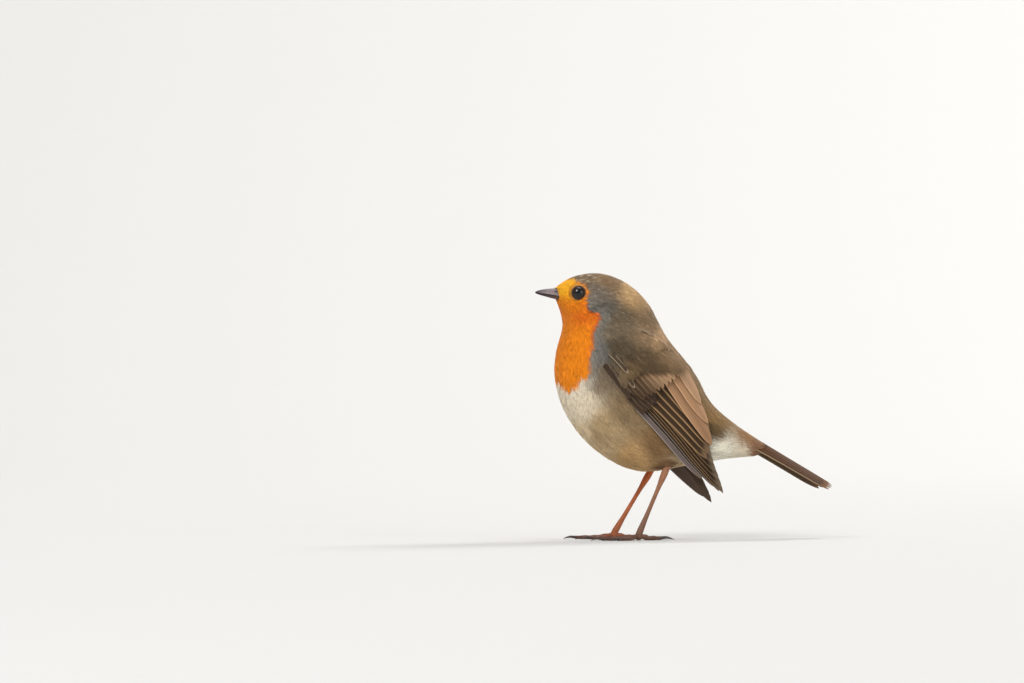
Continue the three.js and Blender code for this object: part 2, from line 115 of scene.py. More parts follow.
def new_object(name, points, faces, material=None, colours=None, uv=None, uv_name="OFBake", normals=None):
    """An object from arrays: points in millimetres, triangles or quads, a colour for each point, a UV for
    each corner, and a normal for each point where the shading is softer than the shape."""
    mesh = bpy.data.meshes.new(name)
    faces = np.ascontiguousarray(faces, np.int32)
    mesh.vertices.add(len(points))
    mesh.vertices.foreach_set("co", (np.asarray(points) * MM).astype(np.float32).ravel())
    mesh.loops.add(faces.size)
    mesh.loops.foreach_set("vertex_index", faces.ravel())
    mesh.polygons.add(len(faces))
    mesh.polygons.foreach_set("loop_start", np.arange(0, faces.size, faces.shape[1], dtype=np.int32))
    mesh.update(calc_edges=True)
    mesh.polygons.foreach_set("use_smooth", np.ones(len(faces), bool))
    if colours is not None:
        rgba = np.ones((len(points), 4), np.float32)
        rgba[:, :3] = colours
        layer = mesh.color_attributes.new("Col", "FLOAT_COLOR", "POINT")
        layer.data.foreach_set("color", rgba.ravel())
    if uv is not None:
        layer = mesh.uv_layers.new(name=uv_name)
        layer.data.foreach_set("uv", np.asarray(uv, np.float32).ravel())
    if normals is not None:
        mesh.normals_split_custom_set_from_vertices(normals.astype(np.float32).tolist())
    obj = bpy.data.objects.new(name, mesh)
    bpy.context.scene.collection.objects.link(obj)
    if material is not None:
        mesh.materials.append(material)
    return obj


def place(obj, slot, *nodes):
    """Fixes a piece to the bird and hides the CAD nodes it stands for. `slot`, the finish it stands for, is
    not used.
    """
    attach(obj, "root")
    if nodes:
        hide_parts(*nodes)
    return obj


def vertex_normals(points, faces):
    a, b, c = (points[faces[:, i]] for i in range(3))
    face = np.cross(b - a, c - a)
    total = np.zeros_like(points)
    for i in range(3):
        np.add.at(total, faces[:, i], face)
    return unit(total)


def edges_of(faces):
    pairs = np.concatenate([faces[:, [0, 1]], faces[:, [1, 2]], faces[:, [2, 0]]])
    return np.unique(np.sort(pairs, axis=1), axis=0)


def relaxed(points, faces, rounds, amount=0.5):
    """Points moved towards the middle of their neighbours, then back a little to keep the size."""
    edges = edges_of(faces)
    count = np.bincount(edges.ravel(), minlength=len(points))[:, None]
    for _ in range(rounds):
        for step in (amount, -amount * 1.04):
            total = np.zeros_like(points)
            np.add.at(total, edges[:, 0], points[edges[:, 1]])
            np.add.at(total, edges[:, 1], points[edges[:, 0]])
            points = points + step * (total / np.maximum(count, 1) - points)
    return points


def remeshed(name, points, faces, voxel):
    """One closed skin round some closed solids, bridging the thin gaps between them."""
    obj = new_object(name, points, faces)
    modifier = obj.modifiers.new("skin", "REMESH")
    modifier.mode = "VOXEL"
    modifier.voxel_size = voxel * MM
    graph = bpy.context.evaluated_depsgraph_get()
    mesh = bpy.data.meshes.new_from_object(obj.evaluated_get(graph))
    made = arrays_of(mesh)
    bpy.data.objects.remove(obj)
    bpy.data.meshes.remove(mesh)
    return made


def outer_shell(points, faces):
    """The largest connected part of a mesh, without the walls of any hollows inside."""
    label = np.arange(len(points))
    edges = edges_of(faces)
    for _ in range(200):
        before = label.copy()
        low = np.minimum(label[edges[:, 0]], label[edges[:, 1]])
        np.minimum.at(label, edges[:, 0], low)
        np.minimum.at(label, edges[:, 1], low)
        label = label[label]
        if np.array_equal(before, label):
            break
    names, counts = np.unique(label[faces[:, 0]], return_counts=True)
    keep = label[faces[:, 0]] == names[np.argmax(counts)]
    used, inverse = np.unique(faces[keep], return_inverse=True)
    return points[used], inverse.reshape(-1, 3)


class Surface:
    """A mesh that can be asked for its nearest place and smooth normal."""

    def __init__(self, points, faces):
        self.points, self.faces = points, faces
        self.normals = vertex_normals(points, faces)
        self.face_normals = unit(self.normals[faces].sum(axis=1))
        self.tree = BVHTree.FromPolygons(points.tolist(), faces.tolist())

    def nearest(self, places):
        found = np.empty_like(places)
        index = np.empty(len(places), np.int64)
        for i, here in enumerate(places.tolist()):
            co, _, face, _ = self.tree.find_nearest(here)
            found[i] = co
            index[i] = face
        return found, self.face_normals[index]

    def scatter(self, count):
        """Random places on the surface, evenly by area."""
        a, b, c = (self.points[self.faces[:, i]] for i in range(3))
        area = np.linalg.norm(np.cross(b - a, c - a), axis=1)
        face = rng.choice(len(area), count, p=area / area.sum())
        u, v = rng.random((2, count))
        flip = u + v > 1
        u[flip], v[flip] = 1 - u[flip], 1 - v[flip]
        at = a[face] + (b - a)[face] * u[:, None] + (c - a)[face] * v[:, None]
        return at, self.face_normals[face]


# ---------------------------------------------------------------- the head's turn, and places on the bird

HEAD_TURN = math.radians(8)
HEAD_PIVOT_X = -30 + SHIFT


def turned(points, direction=1):
    """Places on a straight bird moved to where they are with the head turned, or back with direction -1."""
    angle = direction * HEAD_TURN * smoothstep(70, 85, points[..., 2])
    c, s = np.cos(angle), np.sin(angle)
    x, y = points[..., 0] - HEAD_PIVOT_X, points[..., 1]
    return np.stack([HEAD_PIVOT_X + x * c - y * s, x * s + y * c, points[..., 2]], axis=-1)


SIDE_YAW = math.radians(12)


def side_view(points):
    """Where each place, or its twin on the left, is seen from the left and a little ahead: (across, up)."""
    straight = turned(points, -1)
    straight[..., 1] = -np.abs(straight[..., 1])
    twin = turned(straight)
    across = (twin[..., 0] - SHIFT) * math.cos(SIDE_YAW) - twin[..., 1] * math.sin(SIDE_YAW)
    return np.stack([across, twin[..., 2]], axis=-1)


# The middle line of the body, from the bill's root to the root of the tail, as seen from the side.
AXIS = np.array(
    [
        (-50, 89.5), (-42, 87), (-34, 83), (-29, 74), (-25, 62), (-18, 50),
        (-7, 41), (7, 37), (20, 35), (33, 31),
    ],
    float,
)


def unwrap(points):
    """The skin's own unwrap: how far along the body, and how far round it."""
    flat = turned(points, -1)
    at = flat[:, [0, 2]] - [SHIFT, 0]
    a, b = AXIS[:-1], AXIS[1:]
    along = b - a
    length = np.linalg.norm(along, axis=1)
    t = np.clip(np.einsum("nij,ij->ni", at[:, None] - a, along) / length**2, 0, 1)
    gap = at[:, None] - (a + t[..., None] * along)
    best = np.argmin(np.linalg.norm(gap, axis=2), axis=1)
    row = np.arange(len(at))
    start = np.concatenate([[0], np.cumsum(length)])
    share = (start[best] + t[row, best] * length[best]) / start[-1]
    above = (along[best, 0] * gap[row, best, 1] - along[best, 1] * gap[row, best, 0]) / length[best]
    angle = np.arctan2(flat[:, 1], above) / (2 * math.pi) + 0.5
    return np.stack([0.02 + 0.96 * share, 0.02 + 0.96 * angle], axis=1)


def round_from_back(points):
    """How far round the body each place is from the middle of the back, which is 0, to the keel at 0.48."""
    return np.abs(unwrap(points)[:, 1] - 0.5)


# ---------------------------------------------------------------- the lie of the feathers

# Places on the straight bird seen from its side, and which way a feather's tip points at each.
LIE = np.array(
    [
        (-48, 92, 0.45, 0.9), (-44, 95, 0.8, 0.6), (-36, 97, 1.0, 0.1), (-26, 96, 1.0, -0.3),
        (-17, 90, 0.8, -0.7), (-9, 79, 0.62, -0.8), (0, 65, 0.58, -0.82), (10, 50, 0.8, -0.6),
        (20, 41, 0.86, -0.5), (30, 35, 0.87, -0.5), (-46, 88, 1.0, -0.1), (-40, 90, 1.0, -0.02),
        (-36, 86, 1.0, -0.25), (-28, 88, 1.0, -0.35), (-47, 85, 0.5, -0.85), (-45, 79, 0.3, -1.0),
        (-37, 80, 0.5, -0.85), (-28, 78, 0.65, -0.8), (-46, 68, 0.06, -1.0), (-38, 66, 0.25, -1.0),
        (-47, 56, 0.2, -1.0), (-30, 64, 0.45, -0.9), (-42, 43, 0.5, -0.87), (-32, 33, 0.8, -0.6),
        (-30, 50, 0.5, -0.87), (-18, 26, 1.0, -0.15), (-16, 42, 0.75, -0.66), (-14, 62, 0.6, -0.8),
        (-4, 26, 1.0, 0.05), (-2, 44, 0.8, -0.6), (8, 29, 1.0, 0.06), (19, 31, 1.0, -0.18),
        (27, 30, 0.9, -0.42),
    ],
    float,
)


def lie_at(points, normals):
    """The way the feathers lie: along the surface, from the bill to the tail."""
    at = turned(points, -1)[:, [0, 2]] - [SHIFT, 0]
    distance = np.linalg.norm(at[:, None] - LIE[None, :, :2], axis=2)
    weight = 1.0 / (distance + 1.5) ** 4
    flat = (weight[..., None] * unit(LIE[:, 2:])[None]).sum(axis=1)
    way = unit(np.stack([flat[:, 0], np.zeros(len(flat)), flat[:, 1]], axis=1))
    return along_surface(way, normals)


# Each leg: its side, its hock, its ankle, and how far outwards its middle toe points.
LEGS = {
    "left": (-1, (-8.3, 9.6, 26.6), (-19.2, 10.8, 2.1), 9),
    "right": (1, (-9.9, 9.4, 25.2), (-23.7, 10.4, 2.1), 6),
}

# ---------------------------------------------------------------- markings

ORANGE = srgb(238, 134, 18)
ORANGE_PALE = srgb(250, 176, 36)
ORANGE_DEEP = srgb(204, 86, 22)
BLUE_GREY = srgb(126, 122, 114)
HEM_WHITE = srgb(232, 222, 204)
THIGH_BROWN = srgb(122, 92, 62)
EAR_NOTCH_SHADE = srgb(52, 44, 38)
# Painted shade for the flank under the folded wing.
UNDER_WING_PAINTED_SHADE = srgb(70, 58, 44)

# The edge of the orange on face and breast, in side_view places, from the forehead over the eye and down to
# the belly, then closed in front of the bird.
ORANGE_EDGE = np.array(
    [
        (-47.2, 91.6), (-43.6, 95.6), (-41.0, 95.2), (-38.1, 93.2), (-35.4, 91.6), (-34.4, 89.4),
        (-33.9, 87.0), (-34.9, 85.2), (-34.4, 83.4), (-31.7, 82.0), (-30.1, 81.0), (-30.6, 78.6),
        (-32.2, 76.4), (-32.7, 71.8), (-33.5, 69.0), (-34.4, 65.5), (-34.2, 61.5), (-35.3, 58.1),
        (-38.1, 55.4), (-40.6, 54.0), (-42.2, 53.4), (-44.4, 55.6), (-46.4, 59.2), (-60, 61), (-60, 92),
    ],
    float,
)


def inside_by(at, outline):
    """How far inside a closed outline each place is, negative outside."""
    a, b = outline, np.roll(outline, -1, axis=0)
    along = b - a
    t = np.clip(np.einsum("nij,ij->ni", at[:, None] - a, along) / (along**2).sum(axis=1), 0, 1)
    distance = np.linalg.norm(at[:, None] - (a + t[..., None] * along), axis=2).min(axis=1)
    y, x = at[:, 1, None], at[:, 0, None]
    crosses = (a[:, 1] > y) != (b[:, 1] > y)
    cut_x = a[:, 0] + (y - a[:, 1]) / np.where(along[:, 1] == 0, 1e-9, along[:, 1]) * along[:, 0]
    inside = (crosses & (x < cut_x)).sum(axis=1) % 2 == 1
    return np.where(inside, distance, -distance)


# The plumage away from the orange: (across, up) in side_view, how far each reaches, and its colour.
PLUMAGE = {
    "fore_crown": (-37.5, 96.0, 1.0, srgb(112, 91, 67)),
    "crown": (-28.0, 95.5, 1.0, srgb(128, 102, 72)),
    "nape": (-17.0, 90.0, 1.0, srgb(186, 150, 104)),
    "behind_eye": (-31.0, 89.5, 0.9, srgb(118, 106, 92)),
    "ear": (-28.5, 83.0, 0.9, srgb(98, 91, 80)),
    "neck_side": (-23.0, 78.0, 1.0, srgb(106, 91, 71)),
    "mantle": (-13.0, 76.0, 1.0, srgb(130, 106, 78)),
    "mantle_top": (-8.0, 74.5, 0.9, srgb(176, 142, 106)),
    "upper_back": (-4.0, 68.0, 1.0, srgb(146, 117, 84)),
    "shoulder": (-23.2, 68.2, 1.0, srgb(82, 69, 52)),
    "covert_tips": (-19.5, 62.0, 0.6, srgb(122, 98, 66)),
    "scapulars": (-15.0, 64.5, 1.0, srgb(84, 68, 48)),
    "coverts": (-11.0, 60.0, 0.9, srgb(112, 88, 62)),
    "back": (2.0, 59.0, 1.0, srgb(146, 117, 80)),
    "rump": (13.0, 45.0, 1.0, srgb(140, 108, 66)),
    "over_tail": (25.0, 38.5, 1.0, srgb(144, 104, 66)),
    # rump_side is darker than the rump's own brown: painted shade at the side of the rump.
    "rump_side": (11.0, 38.5, 0.8, srgb(98, 76, 46)),
    "chest_side": (-30.0, 67.0, 0.8, srgb(108, 104, 97)),
    "low_chest_side": (-30.0, 58.5, 0.8, srgb(128, 111, 90)),
    "white_belly": (-40.5, 49.0, 1.2, srgb(232, 216, 188)),
    "belly_front": (-37.5, 38.5, 0.8, srgb(224, 200, 162)),
    "belly_keel": (-30.0, 31.0, 0.7, srgb(214, 186, 144)),
    # mid_belly is the belly's buff darkened in part by painted shade low on the body.
    "mid_belly": (-28.5, 40.0, 1.0, srgb(178, 151, 113)),
    "flank": (-20.0, 47.0, 1.0, srgb(138, 115, 84)),
    # low_flank is the flank's buff darkened by painted shadow of the wing.
    "low_flank": (-9.0, 35.0, 0.9, srgb(130, 100, 66)),
    "low_belly": (-18.0, 28.0, 1.0, srgb(194, 156, 106)),
    "vent": (-1.0, 27.0, 0.8, srgb(202, 174, 134)),
    "under_tail": (13.0, 31.5, 1.1, srgb(244, 236, 214)),
    "under_tail_end": (22.0, 31.0, 0.7, srgb(236, 222, 196)),
    "tail_base": (27.0, 32.5, 0.9, srgb(142, 106, 78)),
}


def wavy(at, scale, seed):
    """A smooth, fixed unevenness between -1 and 1."""
    local = np.random.default_rng(seed)
    total = np.zeros(len(at))
    for _ in range(6):
        way = local.normal(size=2) / scale
        total += np.sin(at @ way + local.uniform(0, 6.28))
    return total / 3.0


def plumage(points):
    """The colour of the plumage at each place."""
    at = side_view(points)
    up = at[:, 1]
    spots = np.array([row[:2] for row in PLUMAGE.values()])
    reach = np.array([row[2] for row in PLUMAGE.values()])
    tones = np.array([row[3] for row in PLUMAGE.values()])
    weight = (reach / (np.linalg.norm(at[:, None] - spots, axis=2) + 0.8)) ** 5
    colour = (weight[..., None] * tones).sum(axis=1) / weight.sum(axis=1, keepdims=True)

    depth = inside_by(at, ORANGE_EDGE) + 0.55 * wavy(at, 1.1, 3) + 0.3 * wavy(at, 0.45, 4)
    # A blue-grey band runs down the orange's rear edge, from the ear to the side of the breast.
    band = smoothstep(-5.0, -1.2, depth) * smoothstep(54, 60, up) * smoothstep(92, 84, up)
    colour = mixed(colour, BLUE_GREY, 0.62 * band * (at[:, 0] > -36.5))
    # White shows along the orange's lower edge, in front.
    hem = smoothstep(-4.5, -0.8, depth) * smoothstep(61, 56, up)
    colour = mixed(colour, HEM_WHITE, 0.5 * hem)

    orange = mixed(ORANGE, ORANGE_PALE, smoothstep(85, 91, up) * smoothstep(-36.5, -41, at[:, 0]))
    deep = smoothstep(2.2, 0.2, depth) * smoothstep(88, 84, up) * smoothstep(62, 76, up)
    orange = mixed(orange, ORANGE_DEEP, 0.75 * deep)
    cheek, ear_side = spot(at, [-36.5, 80.5], [5.0, 3.2]), spot(at, [-32.4, 80.6], [3.2, 2.6])
    orange = mixed(orange, ORANGE_DEEP, np.maximum(0.7 * cheek, 0.6 * ear_side))
    colour = mixed(colour, orange, smoothstep(-0.5, 0.5, depth))
    twin = np.abs(points) * [0, 1, 0] + points * [1, 0, 1]
    for _, hock, _, _ in LEGS.values():
        near = np.linalg.norm(twin - (np.array(hock) + [SHIFT, 0, 0]), axis=1)
        colour = mixed(colour, THIGH_BROWN, smoothstep(5.0, 3.2, near))
    # A short dark notch at the ear's edge: painted shade, as in a gap between the feathers.
    notch = spot((at - [-32.9, 83.6]) @ [[0.8, -0.6], [0.6, 0.8]], 0, [1.5, 0.55])
    colour = mixed(colour, EAR_NOTCH_SHADE, 0.85 * notch)
    # Painted shade: the flank under the folded wing is darkened, more so farther down the wing.
    return mixed(colour, UNDER_WING_PAINTED_SHADE, 0.85 * hidden_by_wing(points, 19, 24))


# ---------------------------------------------------------------- materials


def principled(name):
    material = bpy.data.materials.new(name)
    material.use_nodes = True
    tree = material.node_tree
    return material, tree, tree.nodes["Principled BSDF"]


def node(tree, kind, inputs, **settings):
    """A shader node, with inputs that are values or other nodes' outputs."""
    made = tree.nodes.new("ShaderNode" + kind)
    for key, value in settings.items():
        setattr(made, key, value)
    for key, value in inputs.items():
        if isinstance(value, bpy.types.NodeSocket):
            tree.links.new(value, made.inputs[key])
        else:
            made.inputs[key].default_value = value
    return made


def noise(tree, scale):
    places = node(tree, "TexCoord", {}).outputs["Object"]
    return node(tree, "TexNoise", {"Vector": places, "Scale": scale, "Detail": 3.0}).outputs["Fac"]


def barbs(tree):
    """Fine streaks that run outwards and towards the tip on each vane."""
    layout = node(tree, "UVMap", {}, uv_map="Vane").outputs["UV"]
    slanted = node(tree, "VectorMath", {0: layout, 1: (1.0, -1.6, 0.0)}, operation="DOT_PRODUCT")
    streak = {"W": slanted.outputs["Value"], "Scale": 46.0, "Detail": 3.0}
    return node(tree, "TexNoise", streak, noise_dimensions="1D").outputs["Fac"]


def ranged(tree, value, low, high):
    """A noise between two limits. It hardly leaves its own middle, from 0.3 to 0.7."""
    limits = {"Value": value, "From Min": 0.3, "From Max": 0.7, "To Min": low, "To Max": high}
    return node(tree, "MapRange", limits).outputs["Result"]


def bumped(tree, shader, height, strength, distance):
    made = node(tree, "Bump", {"Strength": strength, "Distance": distance * MM, "Height": height})
    tree.links.new(made.outputs["Normal"], shader.inputs["Normal"])


def painted(name, roughness, variation, scale, bump=0.0, sheen=0.0, specular=0.5, coat=0.0, vane=False):
    """A material whose colour is the mesh's own, made uneven by a fine grain."""
    material, tree, shader = principled(name)
    own = node(tree, "VertexColor", {}, layer_name="Col").outputs["Color"]
    grain = barbs(tree) if vane else noise(tree, scale)
    amount = ranged(tree, grain, 1 - variation, 1 + variation)
    uneven = node(tree, "VectorMath", {0: own, "Scale": amount}, operation="SCALE")
    tree.links.new(uneven.outputs["Vector"], shader.inputs["Base Color"])
    rough = ranged(tree, grain, roughness - 0.06, min(roughness + 0.06, 1.0))
    tree.links.new(rough, shader.inputs["Roughness"])
    finish = {
        "Specular IOR Level": specular, "Sheen Weight": sheen, "Sheen Roughness": 0.5,
        "Coat Weight": coat, "Coat Roughness": 0.08,
    }
    for key, value in finish.items():
        shader.inputs[key].default_value = value
    if bump:
        bumped(tree, shader, grain, bump, GRAIN_HEIGHT)
    return material


GRAIN_HEIGHT = 0.05  # how deep the grain of a surface is
SKIN = painted("plumage_under", 0.85, 0.12, 900.0, bump=0.3, specular=0.2)
COAT = painted("plumage", 0.78, 0.10, 1400.0, sheen=0.08, specular=0.15)
VANE = painted("flight_feather", 0.68, 0.16, 1200.0, bump=0.35, specular=0.08, vane=True)
HORN = painted("bill_horn", 0.38, 0.10, 700.0, bump=0.12, specular=0.35)
SCALE = painted("leg_scales", 0.5, 0.12, 900.0, bump=0.2, specular=0.25)
CLAW = painted("claw_horn", 0.3, 0.12, 800.0, bump=0.1, specular=0.5, coat=0.2)
LID = painted("eyelid", 0.5, 0.15, 1500.0, bump=0.3)
EYE = painted("eye", 0.07, 0.04, 900.0, specular=0.3, coat=0.3)

# ---------------------------------------------------------------- the skin

FLESH = ["head", "neck", "breast", "belly", "back", "rump", "undertail", "thigh_left", "thigh_right"]
SHOULDERS = {"left": -1, "right": 1}
SKIN_VOXEL = 0.55
CREASE = 2.0  # half the width of the creases that the skin closes
PLATE_COPIES = 7
PLATE_STEP = 0.55  # the wing's coverts are flesh down to the body, filled in by copies this far apart

# The outline of the wing's flight feathers, as seen from the side.
WING_OUTLINE = np.array(
    [
        (-33, 66), (-29, 56.5), (-24.3, 51), (-17.7, 43), (-12.2, 36), (-5.7, 30), (1.2, 25), (12.5, 17.2),
        (9.2, 30), (7.5, 40), (3.5, 50), (-4, 62), (-12, 70), (-24, 74),
    ],
    float,
)


def under_wing(points):
    """How far inside the outline of the flight feathers a place on the flank is."""
    inside = inside_by(points[:, [0, 2]] - [SHIFT, 0], WING_OUTLINE)
    return smoothstep(0.5, 3.0, inside) * smoothstep(2.0, 5.0, np.abs(points[:, 1]))


def down_the_wing(points):
    """How far from the wing's bend towards its tip a place is."""
    return (points[:, 0] - SHIFT + 34.5) * 0.66 + (71.6 - points[:, 2]) * 0.75


def hidden_by_wing(points, start, full):
    """How well the folded feathers hide a place, from one distance down the wing to another."""
    return under_wing(points) * smoothstep(start, full, down_the_wing(points))


def coat_depth(points):
    """How far the skin lies inside the outline of the feathers."""
    at = side_view(points)
    face = smoothstep(-40, -47, at[:, 0]) * smoothstep(80, 86, at[:, 1])
    head = smoothstep(72, 82, at[:, 1])
    tail = smoothstep(8, 24, at[:, 0])
    depth = 0.55 - 0.15 * head - 0.10 * face - 0.15 * tail
    leg = smoothstep(28, 26.5, points[:, 2]) * smoothstep(6, 8, np.abs(turned(points, -1)[:, 1]))
    forehead = spot(at, [-44.0, 94.5], [3.5, 3.0])
    return np.maximum(depth - 0.8 * leg, 0.25) + 1.3 * hidden_by_wing(points, 17, 23) + 0.3 * forehead


def make_skin():
    parts = [mesh_of(name) for name in FLESH]
    for name, side in SHOULDERS.items():
        points, faces = mesh_of(f"wing_{name}_coverts")
        below = down_the_wing(points)
        points[:, 1] -= side * (4.6 * smoothstep(15, 22, below) + 4.0 * smoothstep(18, 23, below))
        for i in range(PLATE_COPIES):
            parts.append((points - [0, side * PLATE_STEP * i, 0], faces))
    points, faces = outer_shell(*remeshed("skin_source", *joined(parts), SKIN_VOXEL))
    points = relaxed(points, faces, 4)
    # Swelling and shrinking again closes the creases between the wings and the back.
    points = points + vertex_normals(points, faces) * CREASE
    points, faces = outer_shell(*remeshed("skin_swollen", points, faces, SKIN_VOXEL))
    points = relaxed(points, faces, 20)
    for _ in range(4):
        points = relaxed(points - vertex_normals(points, faces) * CREASE / 4, faces, 3)
    points, faces = outer_shell(*remeshed("skin_even", points, faces, SKIN_VOXEL))
    points = relaxed(points, faces, 6)
    for _ in range(4):
        step = coat_depth(points)[:, None] / 4
        points = relaxed(points - vertex_normals(points, faces) * step, faces, 1)
    return points, faces


skin_points, skin_faces = make_skin()
skin = Surface(skin_points, skin_faces)
# A triangle that crosses the unwrap's seam under the belly is stretched to the edge of the unwrap.
corner_uv = unwrap(skin_points)[skin_faces.ravel()].reshape(-1, 3, 2)
wrap = (corner_uv[:, :, 1].max(axis=1) - corner_uv[:, :, 1].min(axis=1)) > 0.5
high = corner_uv[:, :, 1] > 0.5
corner_uv[:, :, 1] = np.where(wrap[:, None] & ~high, 0.98, corner_uv[:, :, 1])
# The skin under the tufts is painted a little darker than the plumage: painted shade beneath the coat.
skin_obj = new_object(
    "skin", skin_points, skin_faces, SKIN, plumage(skin_points) * 0.92, corner_uv.reshape(-1, 2)
)
place(skin_obj, "plumage_back", *FLESH, "wing_left_coverts", "wing_right_coverts")

# ---------------------------------------------------------------- tufts

STATIONS = np.array([0.0, 0.34, 0.68, 1.0])
BLADE_PROFILE = np.array([0.95, 1.0, 0.74, 0.0])  # a blade's width at each station
BLADE_RIDGE = 0.42  # how high its ridge stands, for half its width
RAGGED = 0.18  # how unequal a tuft's blades are
PATCH = 0.003  # how much of the unwrap a tuft's own patch covers
SOFTNESS = 0.6  # how far a blade is shaded as the surface it lies on, rather than by its own shape


def traced(surface, roots, normals, lengths, ways=None, twist=0.0):
    """Each tuft's line along the surface: its places, normals and directions at the stations."""
    here, normal = roots, normals
    places, norms = [here], [normal]
    way = lie_at(here, normal) if ways is None else unit(ways)
    way = unit(way + np.cross(normal, way) * np.asarray(twist)[..., None])
    directions = [way]
    for i in range(1, len(STATIONS)):
        step = lengths * (STATIONS[i] - STATIONS[i - 1])
        here, normal = surface.nearest(here + way * step[:, None])
        way = along_surface(way, normal)
        places.append(here)
        norms.append(normal)
        directions.append(way)
    return tuple(np.stack(a, axis=1) for a in (places, norms, directions))


def blade_faces(stations):
    """A three-sided blade's triangles: a ring of three places at each station but the last, then its tip."""
    faces = []
    for a in range(0, 3 * (stations - 2), 3):
        for j, k in ((0, 1), (1, 2), (2, 0)):
            faces += [(a + j, a + 3 + k, a + 3 + j), (a + j, a + k, a + 3 + k)]
    a = 3 * (stations - 2)
    return np.array(faces + [(a, a + 1, a + 3), (a + 1, a + 2, a + 3), (a + 2, a, a + 3), (0, 2, 1)])


def tufts(lines, lengths, widths, lifts, blades, spread, tip_colour, shaded_root_colour):
    """Solid three-sided blades, several to a tuft, that leave one root and part at their tips."""
    places, norms, ways = lines
    n, stations = places.shape[:2]
    across = unit(np.cross(norms, ways))
    fan = np.linspace(-1, 1, blades)[None] + rng.normal(0, 0.16, (n, blades))
    reach = 1 - RAGGED * np.abs(fan) ** 1.5 - rng.random((n, blades)) * RAGGED
    t = STATIONS[None, None] * np.ones((n, blades, 1))
    # Places along each blade, between the stations of the tuft's own line.
    share = t * reach[..., None]
    index = np.minimum((share[..., None] >= STATIONS[1:-1]).sum(axis=-1), stations - 2)
    part = (share - STATIONS[index]) / (STATIONS[index + 1] - STATIONS[index])
    row = np.arange(n)[:, None, None]

    def along(values):
        return lerp(values[row, index], values[row, index + 1], part[..., None])

    centre, normal, side = along(places), unit(along(norms)), unit(along(across))
    sideways = fan[..., None] * spread * lengths[:, None, None] * t**1.15
    rise = lifts[:, None, None] * (0.12 + 0.88 * t**0.8) * (1 - 0.25 * np.abs(fan[..., None]) * t)
    rise = rise + rng.normal(0, 0.05, (n, blades, 1)) * lifts[:, None, None]
    centre = centre + side * sideways[..., None] + normal * rise[..., None]
    half = widths[:, None, None] * BLADE_PROFILE * 0.5
    left, right = centre - side * half[..., None], centre + side * half[..., None]
    top = centre + normal * (half * BLADE_RIDGE)[..., None]

    def ringed(around, tips):
        """Three values at each station but the last, and one at the tip."""
        ring = np.stack([values[:, :, :-1] for values in around], axis=3)
        return np.concatenate([ring.reshape(n, blades, -1, 3), tips[:, :, -1:]], axis=2)

    points = ringed((left, right, top), centre)
    own = ringed((lerp(normal, -side, 0.7), lerp(normal, side, 0.7), normal), normal)
    shade_normal = unit(lerp(unit(own), ringed((normal, normal, normal), normal), SOFTNESS))
    per = points.shape[2]
    start = (np.arange(n * blades) * per)[:, None, None]
    faces = (blade_faces(stations)[None] + start).reshape(-1, 3)
    level = np.concatenate([np.repeat(STATIONS[:-1], 3), [1.0]])
    tone = 1 + rng.normal(0, 0.06, (n, blades, 1, 1))
    # Painted shade: each blade darkens towards its root, where the coat above shades it.
    shade = lerp(0.8, 1.0, smoothstep(0.0, 0.6, level))[None, None, :, None]
    colour = lerp(shaded_root_colour[:, None, None], tip_colour[:, None, None], smoothstep(0.1, 0.8, level)[:, None])
    colour = np.clip(colour * shade * tone, 0, 1)
    local = np.stack([np.concatenate([np.tile([0.2, 0.8, 0.5], stations - 1), [0.5]]), level], axis=1)
    uv = unwrap(places[:, 0])[:, None, None] + (local[None, None] - 0.5) * PATCH
    uv = np.broadcast_to(uv, (n, blades, per, 2))
    return points.reshape(-1, 3), faces, colour.reshape(-1, 3), uv.reshape(-1, 2), shade_normal.reshape(-1, 3)


def coat_object(name, made, slot):
    points, faces = joined([tuft[:2] for tuft in made])
    colours, uv, normals = (np.concatenate([tuft[i] for tuft in made]) for i in (2, 3, 4))
    obj = new_object(name, points, faces, COAT, colours, uv[faces.ravel()], normals=normals)
    return place(obj, slot)


def thinned(points, size):
    """The indices of random places that are about a given distance apart."""
    key = np.floor((points + rng.random(3) * 10) / np.asarray(size)[:, None]).astype(np.int64)
    code = (key[:, 0] * 73856093) ^ (key[:, 1] * 19349663) ^ (key[:, 2] * 83492791)
    _, first = np.unique(code, return_index=True)
    return np.sort(first)


def eye_frame(side_name):
    """An eye's centre, and the way it looks."""
    low, high = (np.array(corner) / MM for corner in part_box(f"eye_{side_name}"))
    level_with_eye = np.array([HEAD_PIVOT_X, 0, 90])
    out = turned(level_with_eye + [[-0.30, SHOULDERS[side_name] * 0.95, 0.06]]) - level_with_eye
    return (low + high) / 2, unit(out[0])


EYES = {name: eye_frame(name) for name in SHOULDERS}
EYE_RADIUS = 2.6
LID_RADIUS = 2.3
EYE_DEPTH = 2.15  # the ball is a little flattened towards the outside
PUPIL_RADIUS = 1.35

# Each kind of contour feather: spacing of the roots, length, width of a blade, lift off the skin.
COAT_KINDS = {
    "face": (0.55, 2.0, 0.18, 0.26),
    "head": (0.66, 3.3, 0.24, 0.40),
    "neck": (0.84, 4.8, 0.33, 0.54),
    "body": (1.02, 6.4, 0.41, 0.66),
    "back": (1.02, 6.6, 0.43, 0.66),
    "tail": (0.92, 7.0, 0.38, 0.50),
}
KIND_SIZES = np.array(list(COAT_KINDS.values()))
SCATTERED = 240000  # random places on the skin, before they are thinned to the spacing
BILL_CLEARANCE = 1.6  # no tuft stands nearer to the middle line of the bill
BILL_HEIGHT = 89.3
FACE_FRONT = -46.9  # where the face ends and the bill stands clear of it
FRINGE = srgb(206, 186, 158)


